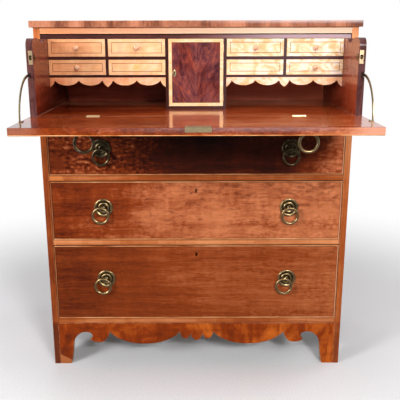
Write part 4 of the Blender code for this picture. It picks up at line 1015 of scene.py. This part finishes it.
def cupboard_door():
    """Two matched leaves of flame veneer inside a satinwood band."""
    low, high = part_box("cupboard_door")
    g = Graph("cupboard_door_veneer")
    aside = g.add(g.x, -(low.x + high.x) / 2)
    mirror = g.math("ABSOLUTE", aside)
    matched = {0: mirror, 1: g.times(aside, 0.35), 2: g.add(g.z, g.times(mirror, -1.1))}
    place = g.node("ShaderNodeCombineXYZ", matched).outputs[0]
    curl = g.noise((40.0, 30.0, 26.0), 5.0, 0.66, 1.6, place=place)
    broad = g.noise((20.0, 18.0, 14.0), 2.0, shift=(5.0, 0, 3.0), place=place)
    fine = g.noise((420.0, 1.0, 160.0), 2.0)
    value = g.add(g.swing(curl, 1.9), g.add(g.times(broad, 0.9), g.swing(fine, 0.35)))
    figure = g.ramp(value, DOOR_FLAME)
    red = g.smooth(g.noise((17.0, 1.0, 12.0), 3.0, 0.6, shift=(8.0, 0, 2.0)), 0.44, 0.62)
    figure = g.blend(g.times(red, 0.55), figure, paint(*DOOR_RED), "MULTIPLY")
    figure = g.tint(figure, DOOR_JOINT, g.smooth(mirror, 0.0010, 0.0), 0.5)
    back, relief = wood(g, "inner", "z", 62)
    front = banded(g, low, high, figure, 61, 0.0008)
    colour = g.blend(g.smooth(g.y, low.y + 0.0014, low.y + 0.0020), front, back)
    return polished(g, colour, relief, 0.24, 0.45)


def knob_satinwood():
    """The turned knobs, with dirt and painted shade where each meets its drawer."""
    g = Graph("knob_satinwood")
    colour = g.ramp(g.noise((420.0, 60.0, 90.0)), KNOB_WOOD, (0.3, 0.5, 0.7))
    colour = darken_with_dirt_and_shade(g, colour, g.add(g.z, -0.0008), 0.0030, 0.6, KNOB_DIRT_AND_SHADE)
    return g.finish(colour, 0.26, 0.3, specular=0.35)


def cut_knob(bm):
    """Takes off a knob's coarse turning and closes the face behind it."""
    gone = [vert for vert in bm.verts if vert.co.y < GALLERY_FRONT - 0.0001]
    bmesh.ops.delete(bm, geom=gone, context="VERTS")
    bmesh.ops.holes_fill(bm, edges=[edge for edge in bm.edges if edge.is_boundary], sides=0)


def build_small_drawers():
    """Eight drawers. The lower inner two have lost their knobs."""
    material = knob_satinwood()
    rows = [(side, place, row) for side in ("left", "right") for place in ("outer", "inner")
            for row in ("upper", "lower")]
    for seed, (side, place, row) in enumerate(rows, 70):
        node = f"{side}_{place}_{row}_drawer"
        lost = (place, row) == ("inner", "lower")
        softened(node, small_drawer(node, seed, lost and side == "left"), 0.0004, None if lost else cut_knob)
        if not lost:
            mesh = to_mesh(turned(KNOB_PROFILE, 40), "knob")
            knob = place_piece(f"{node}_knob", mesh, BODY_OF[node], material)
            low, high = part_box(node)
            middle = Vector(((low.x + high.x) / 2, GALLERY_FRONT, (low.z + high.z) / 2))
            knob.matrix_world = facing(middle, (0, -1, 0))


# Brasswork


def handle(name, outward, plate_finish, ring_finish):
    """A plate with its eye, and the ring that hangs in it, each finer than its CAD solid."""
    low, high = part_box(f"{name}_plate")
    seat = (low + high) / 2
    if outward[1]:
        seat.y = high.y
    else:
        seat.z = high.z
    profile = [(share * PLATE_RADIUS, height) for share, height in PLATE_PROFILE]
    neck_top = EYE_STANDOFF - EYE_RADIUS + 0.0004
    profile += [(NECK_RADIUS, 0.0054), (NECK_RADIUS * 0.9, 0.0060), (NECK_RADIUS, neck_top)]
    bm = turned(profile, 72)
    tube_ring(bm, (0, 0, EYE_STANDOFF), (1, 0, 0), EYE_RADIUS, EYE_WIRE, 36, 14)
    body = BODY_OF[f"{name}_plate"]
    plate = place_piece(f"{name}_plate_turned", to_mesh(bm, "plate"), body, plate_finish)
    plate.matrix_world = facing(seat, outward)
    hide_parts(f"{name}_plate")
    low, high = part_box(f"{name}_ring")
    bm = bmesh.new()
    tube_ring(bm, (low + high) / 2, (0, 1, 0), RING_RADIUS, RING_WIRE, 96, 20, RING_SWELL)
    body = BODY_OF[f"{name}_ring"]
    ring = place_piece(f"{name}_ring_bent", to_mesh(bm, "ring"), body, ring_finish)
    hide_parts(f"{name}_ring")


def screw(name, centre, outward, body, material, radius=SCREW_RADIUS):
    """A countersunk head with its slot, a hair above the surface that it holds."""
    profile = ((radius, -0.0002), (radius, 0.00002), (radius * 0.94, 0.00010), (radius * 0.9, 0.00005))
    bm = turned(profile, 28)
    inside, steps = radius * 0.9, 14
    start = math.acos(radius * 0.16 / inside)
    angles = [-start + 2 * start * step / steps for step in range(steps + 1)]
    for side in (-1, 1):
        outline = [(side * inside * math.cos(a), inside * math.sin(a)) for a in angles]
        lower = [bm.verts.new((u, w, 0.00004)) for u, w in outline]
        upper = [bm.verts.new((u, w, 0.00022)) for u, w in outline]
        bm.faces.new(upper)
        bm.faces.new(lower)
        bridge(bm, lower, upper)
    head = place_piece(name, to_mesh(bm, "screw"), body, material)
    turn = Matrix.Rotation(0.7 + 1.9 * centre[0] * 40, 4, "Z")
    head.matrix_world = facing(centre, outward) @ turn


def build_drawer_handles(metals):
    """The long drawers' handles. The upper drawer's take a darker brass, painted shade for the fall's shadow
    over them.
    """
    shadow_painted, plate, ring = metals["shadow_painted_brass"], metals["plate_brass"], metals["ring_brass"]
    for drawer in LONG_DRAWERS:
        for side in ("left", "right"):
            finishes = (shadow_painted, shadow_painted) if drawer == "upper_drawer" else (plate, ring)
            handle(f"{drawer}_{side}", (0, -1, 0), *finishes)


def build_fittings(metals):
    """Brass on the fall and the secretaire drawer. The fall's left ring takes the darker brass, painted
    shade for its deep shadow.
    """
    pale, dull = metals["pale_brass"], metals["lock_brass"]
    for side, ring in (("left", "shadow_painted_brass"), ("right", "ring_brass")):
        handle(f"fall_{side}", (0, 0, -1), metals["plate_brass"], metals[ring])
        softened(f"{side}_stay", metals["stay_brass"], 0.0005)
        softened(f"{side}_catch_plate", pale, 0.0002)
        softened(f"{side}_thumb_slide", metals["bronze"], 0.0002)
        softened(f"{side}_fall_hinge", pale, 0.0002)
        low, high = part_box(f"{side}_fall_hinge")
        for share in HINGE_SCREW_SHARES:
            place = (low.x + (high.x - low.x) * share, HINGE_LINE - LEAF_MIDDLE, DESK_LEVEL - SEAT_GAP)
            screw(f"{side}_hinge_screw_{int(share * 100)}", place, (0, 0, 1), "fall", pale)
        low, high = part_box(f"{side}_catch_plate")
        for index, level in enumerate((low.z + CATCH_SCREW_INSET, high.z - CATCH_SCREW_INSET)):
            place = ((low.x + high.x) / 2, low.y, level)
            name = f"{side}_catch_screw_{index}"
            screw(name, place, (0, -1, 0), "secretaire", pale, CATCH_SCREW_RADIUS)
    softened("fall_lock", dull, 0.0002)
    low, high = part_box("fall_lock")
    for index, (along, back) in enumerate(LOCK_SCREWS):
        place = (low.x + (high.x - low.x) * along, low.y + back, high.z)
        screw(f"lock_screw_{index}", place, (0, 0, 1), "fall", dull)


def build_escutcheons(metals):
    """Thread escutcheons in the long drawers, and a lozenge on the cupboard door."""
    upright = Matrix.Rotation(math.pi / 2, 4, "X")
    for drawer in LONG_DRAWERS:
        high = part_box(f"{drawer}_front")[1]
        bm = plate_with_hole(keyhole_outline(THREAD_WIDTH), keyhole_outline(-0.0004), 0.0006)
        mesh = to_mesh(bm, "thread")
        thread = place_piece(f"{drawer}_escutcheon", mesh, drawer, metals["dark_brass"])
        thread.matrix_world = Matrix.Translation((0.0, FRONT + 0.0006, high.z - KEY_FROM_TOP)) @ upright
    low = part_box("cupboard_door")[0]
    keyhole = keyhole_outline(0.0)
    outer = []
    for across, up in keyhole:
        angle = math.atan2(up, across)
        parts = (abs(math.cos(angle) / LOZENGE_HALF[0]), abs(math.sin(angle) / LOZENGE_HALF[1]))
        reach = (parts[0] ** LOZENGE_POWER + parts[1] ** LOZENGE_POWER) ** (-1 / LOZENGE_POWER)
        outer.append((reach * math.cos(angle), reach * math.sin(angle)))
    inner = [(u * 0.8, w * 0.8 + KEY_BELOW_CENTRE) for u, w in keyhole]
    mesh = to_mesh(plate_with_hole(outer, inner, 0.0007, 0.0003), "lozenge")
    lozenge = place_piece("door_escutcheon", mesh, "cupboard_door", metals["stay_brass"])
    centre = (low.x + DOOR_KEY[0], GALLERY_FRONT, DESK_LEVEL + DOOR_KEY[1] - KEY_BELOW_CENTRE)
    lozenge.matrix_world = Matrix.Translation(centre) @ upright


def build_door_hinges(metals):
    """The cupboard door's two hinges, each of three knuckles."""
    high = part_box("cupboard_door")[1]
    profile = [(radius, start + rise) for start in DOOR_KNUCKLE_STARTS for radius, rise in DOOR_KNUCKLE]
    for name, level in DOOR_HINGE_LEVELS:
        mesh = to_mesh(turned(profile, 20), "hinge")
        hinge = place_piece(f"door_hinge_{name}", mesh, "cupboard_door", metals["pale_brass"])
        hinge.matrix_world = Matrix.Translation((high.x, GALLERY_FRONT - 0.0006, level))


# Light, floor and camera


def area_lamp(name, place, target, size, power):
    lamp = bpy.data.lights.new(name, "AREA")
    lamp.shape = "RECTANGLE"
    lamp.size, lamp.size_y = size
    lamp.energy = power
    obj = add_object(name, lamp)
    obj.location = place
    obj.rotation_euler = (Vector(target) - Vector(place)).to_track_quat("-Z", "Y").to_euler()
    obj.visible_glossy = "softbox" in name


def build_floor():
    """A pale floor. It fades into the white surroundings for the camera and for polished surfaces."""
    bm = bmesh.new()
    bmesh.ops.create_circle(bm, cap_ends=True, segments=96, radius=FLOOR_RADIUS)
    floor = add_object("floor", to_mesh(bm, "floor"))
    g = Graph("floor_pale")
    glossy = g.ray("Is Glossy Ray")
    seen = g.math("MAXIMUM", glossy, g.ray("Is Transmission Ray"))
    seen = g.math("MAXIMUM", g.ray("Is Camera Ray"), seen)
    mirrored = g.times(glossy, g.minus(1.0, g.smooth(g.y, *FLOOR_BEHIND)))
    plain = g.times(seen, g.minus(1.0, mirrored))
    pale = g.ramp(g.noise(260.0), FLOOR_SPECKS, (0.35, 0.65))
    g.finish(g.blend(plain, paint(*FLOOR_MIRRORED), pale), 0.95, specular=0.1)
    far = g.smooth(g.vector("LENGTH", g.place).outputs["Value"], *FLOOR_FADE)
    glow = g.node("ShaderNodeEmission", {"Strength": 1.0}).outputs[0]
    join = g.node("ShaderNodeMixShader", {0: g.times(far, plain), 1: g.shader.outputs[0], 2: glow})
    g.feed(g.tree.nodes["Material Output"].inputs[0], join.outputs[0])
    floor.data.materials.append(g.material)


def build_world():
    """White to the camera. Polish mirrors white behind the chest and a pale room before it."""
    world = bpy.data.worlds.new("studio")
    bpy.context.scene.world = world
    world.use_nodes = True
    g = Nodes(world.node_tree)
    ray = g.node("ShaderNodeTexCoord").outputs["Generated"]
    apart = g.node("ShaderNodeSeparateXYZ", {0: ray}).outputs
    room = g.smooth(apart[2], *ROOM_HORIZON, DIM_GLOSS, ROOM_GLOSS)
    mirrored = g.smooth(apart[1], *ROOM_BEFORE, room, 1.0)
    unseen = g.mix(g.ray("Is Glossy Ray"), AMBIENT, mirrored)
    seen = g.math("MAXIMUM", g.ray("Is Camera Ray"), g.ray("Is Transmission Ray"))
    back = g.tree.nodes["Background"]
    back.inputs["Color"].default_value = (1.0, 1.0, 1.0, 1.0)
    g.feed(back.inputs["Strength"], g.mix(seen, unseen, 1.0))


def build_camera():
    camera = bpy.data.cameras.new("camera")
    camera.sensor_width = SENSOR_MM
    camera.lens = FOCAL_PIXELS / FRAME_PIXELS * SENSOR_MM
    camera.shift_x = CENTRE_SHIFT_PIXELS[0] / FRAME_PIXELS
    camera.shift_y = -CENTRE_SHIFT_PIXELS[1] / FRAME_PIXELS
    level = math.cos(CAMERA_PITCH)
    forward = Vector((math.sin(CAMERA_YAW) * level, math.cos(CAMERA_YAW) * level, -math.sin(CAMERA_PITCH)))
    right = Vector((math.cos(CAMERA_YAW), -math.sin(CAMERA_YAW), 0))
    up = right.cross(forward)
    rolled_right = math.cos(CAMERA_ROLL) * right + math.sin(CAMERA_ROLL) * up
    rolled_up = math.cos(CAMERA_ROLL) * up - math.sin(CAMERA_ROLL) * right
    turn = Matrix((rolled_right, rolled_up, -forward)).transposed()
    obj = add_object("camera", camera)
    obj.matrix_world = Matrix.Translation(CAMERA_PLACE) @ turn.to_4x4()
    bpy.context.scene.camera = obj


build_carcass()
build_long_drawers()
build_secretaire()
build_small_drawers()

metals = {name: brass(name) for name in BRASSES}
build_drawer_handles(metals)
build_fittings(metals)
build_escutcheons(metals)
build_door_hinges(metals)

build_floor()
build_world()
for name, place, size, power in LAMPS:
    area_lamp(name, place, LAMP_TARGET, size, power)
build_camera()
bpy.context.scene.view_settings.view_transform = "Standard"

bpy.context.view_layer.update()
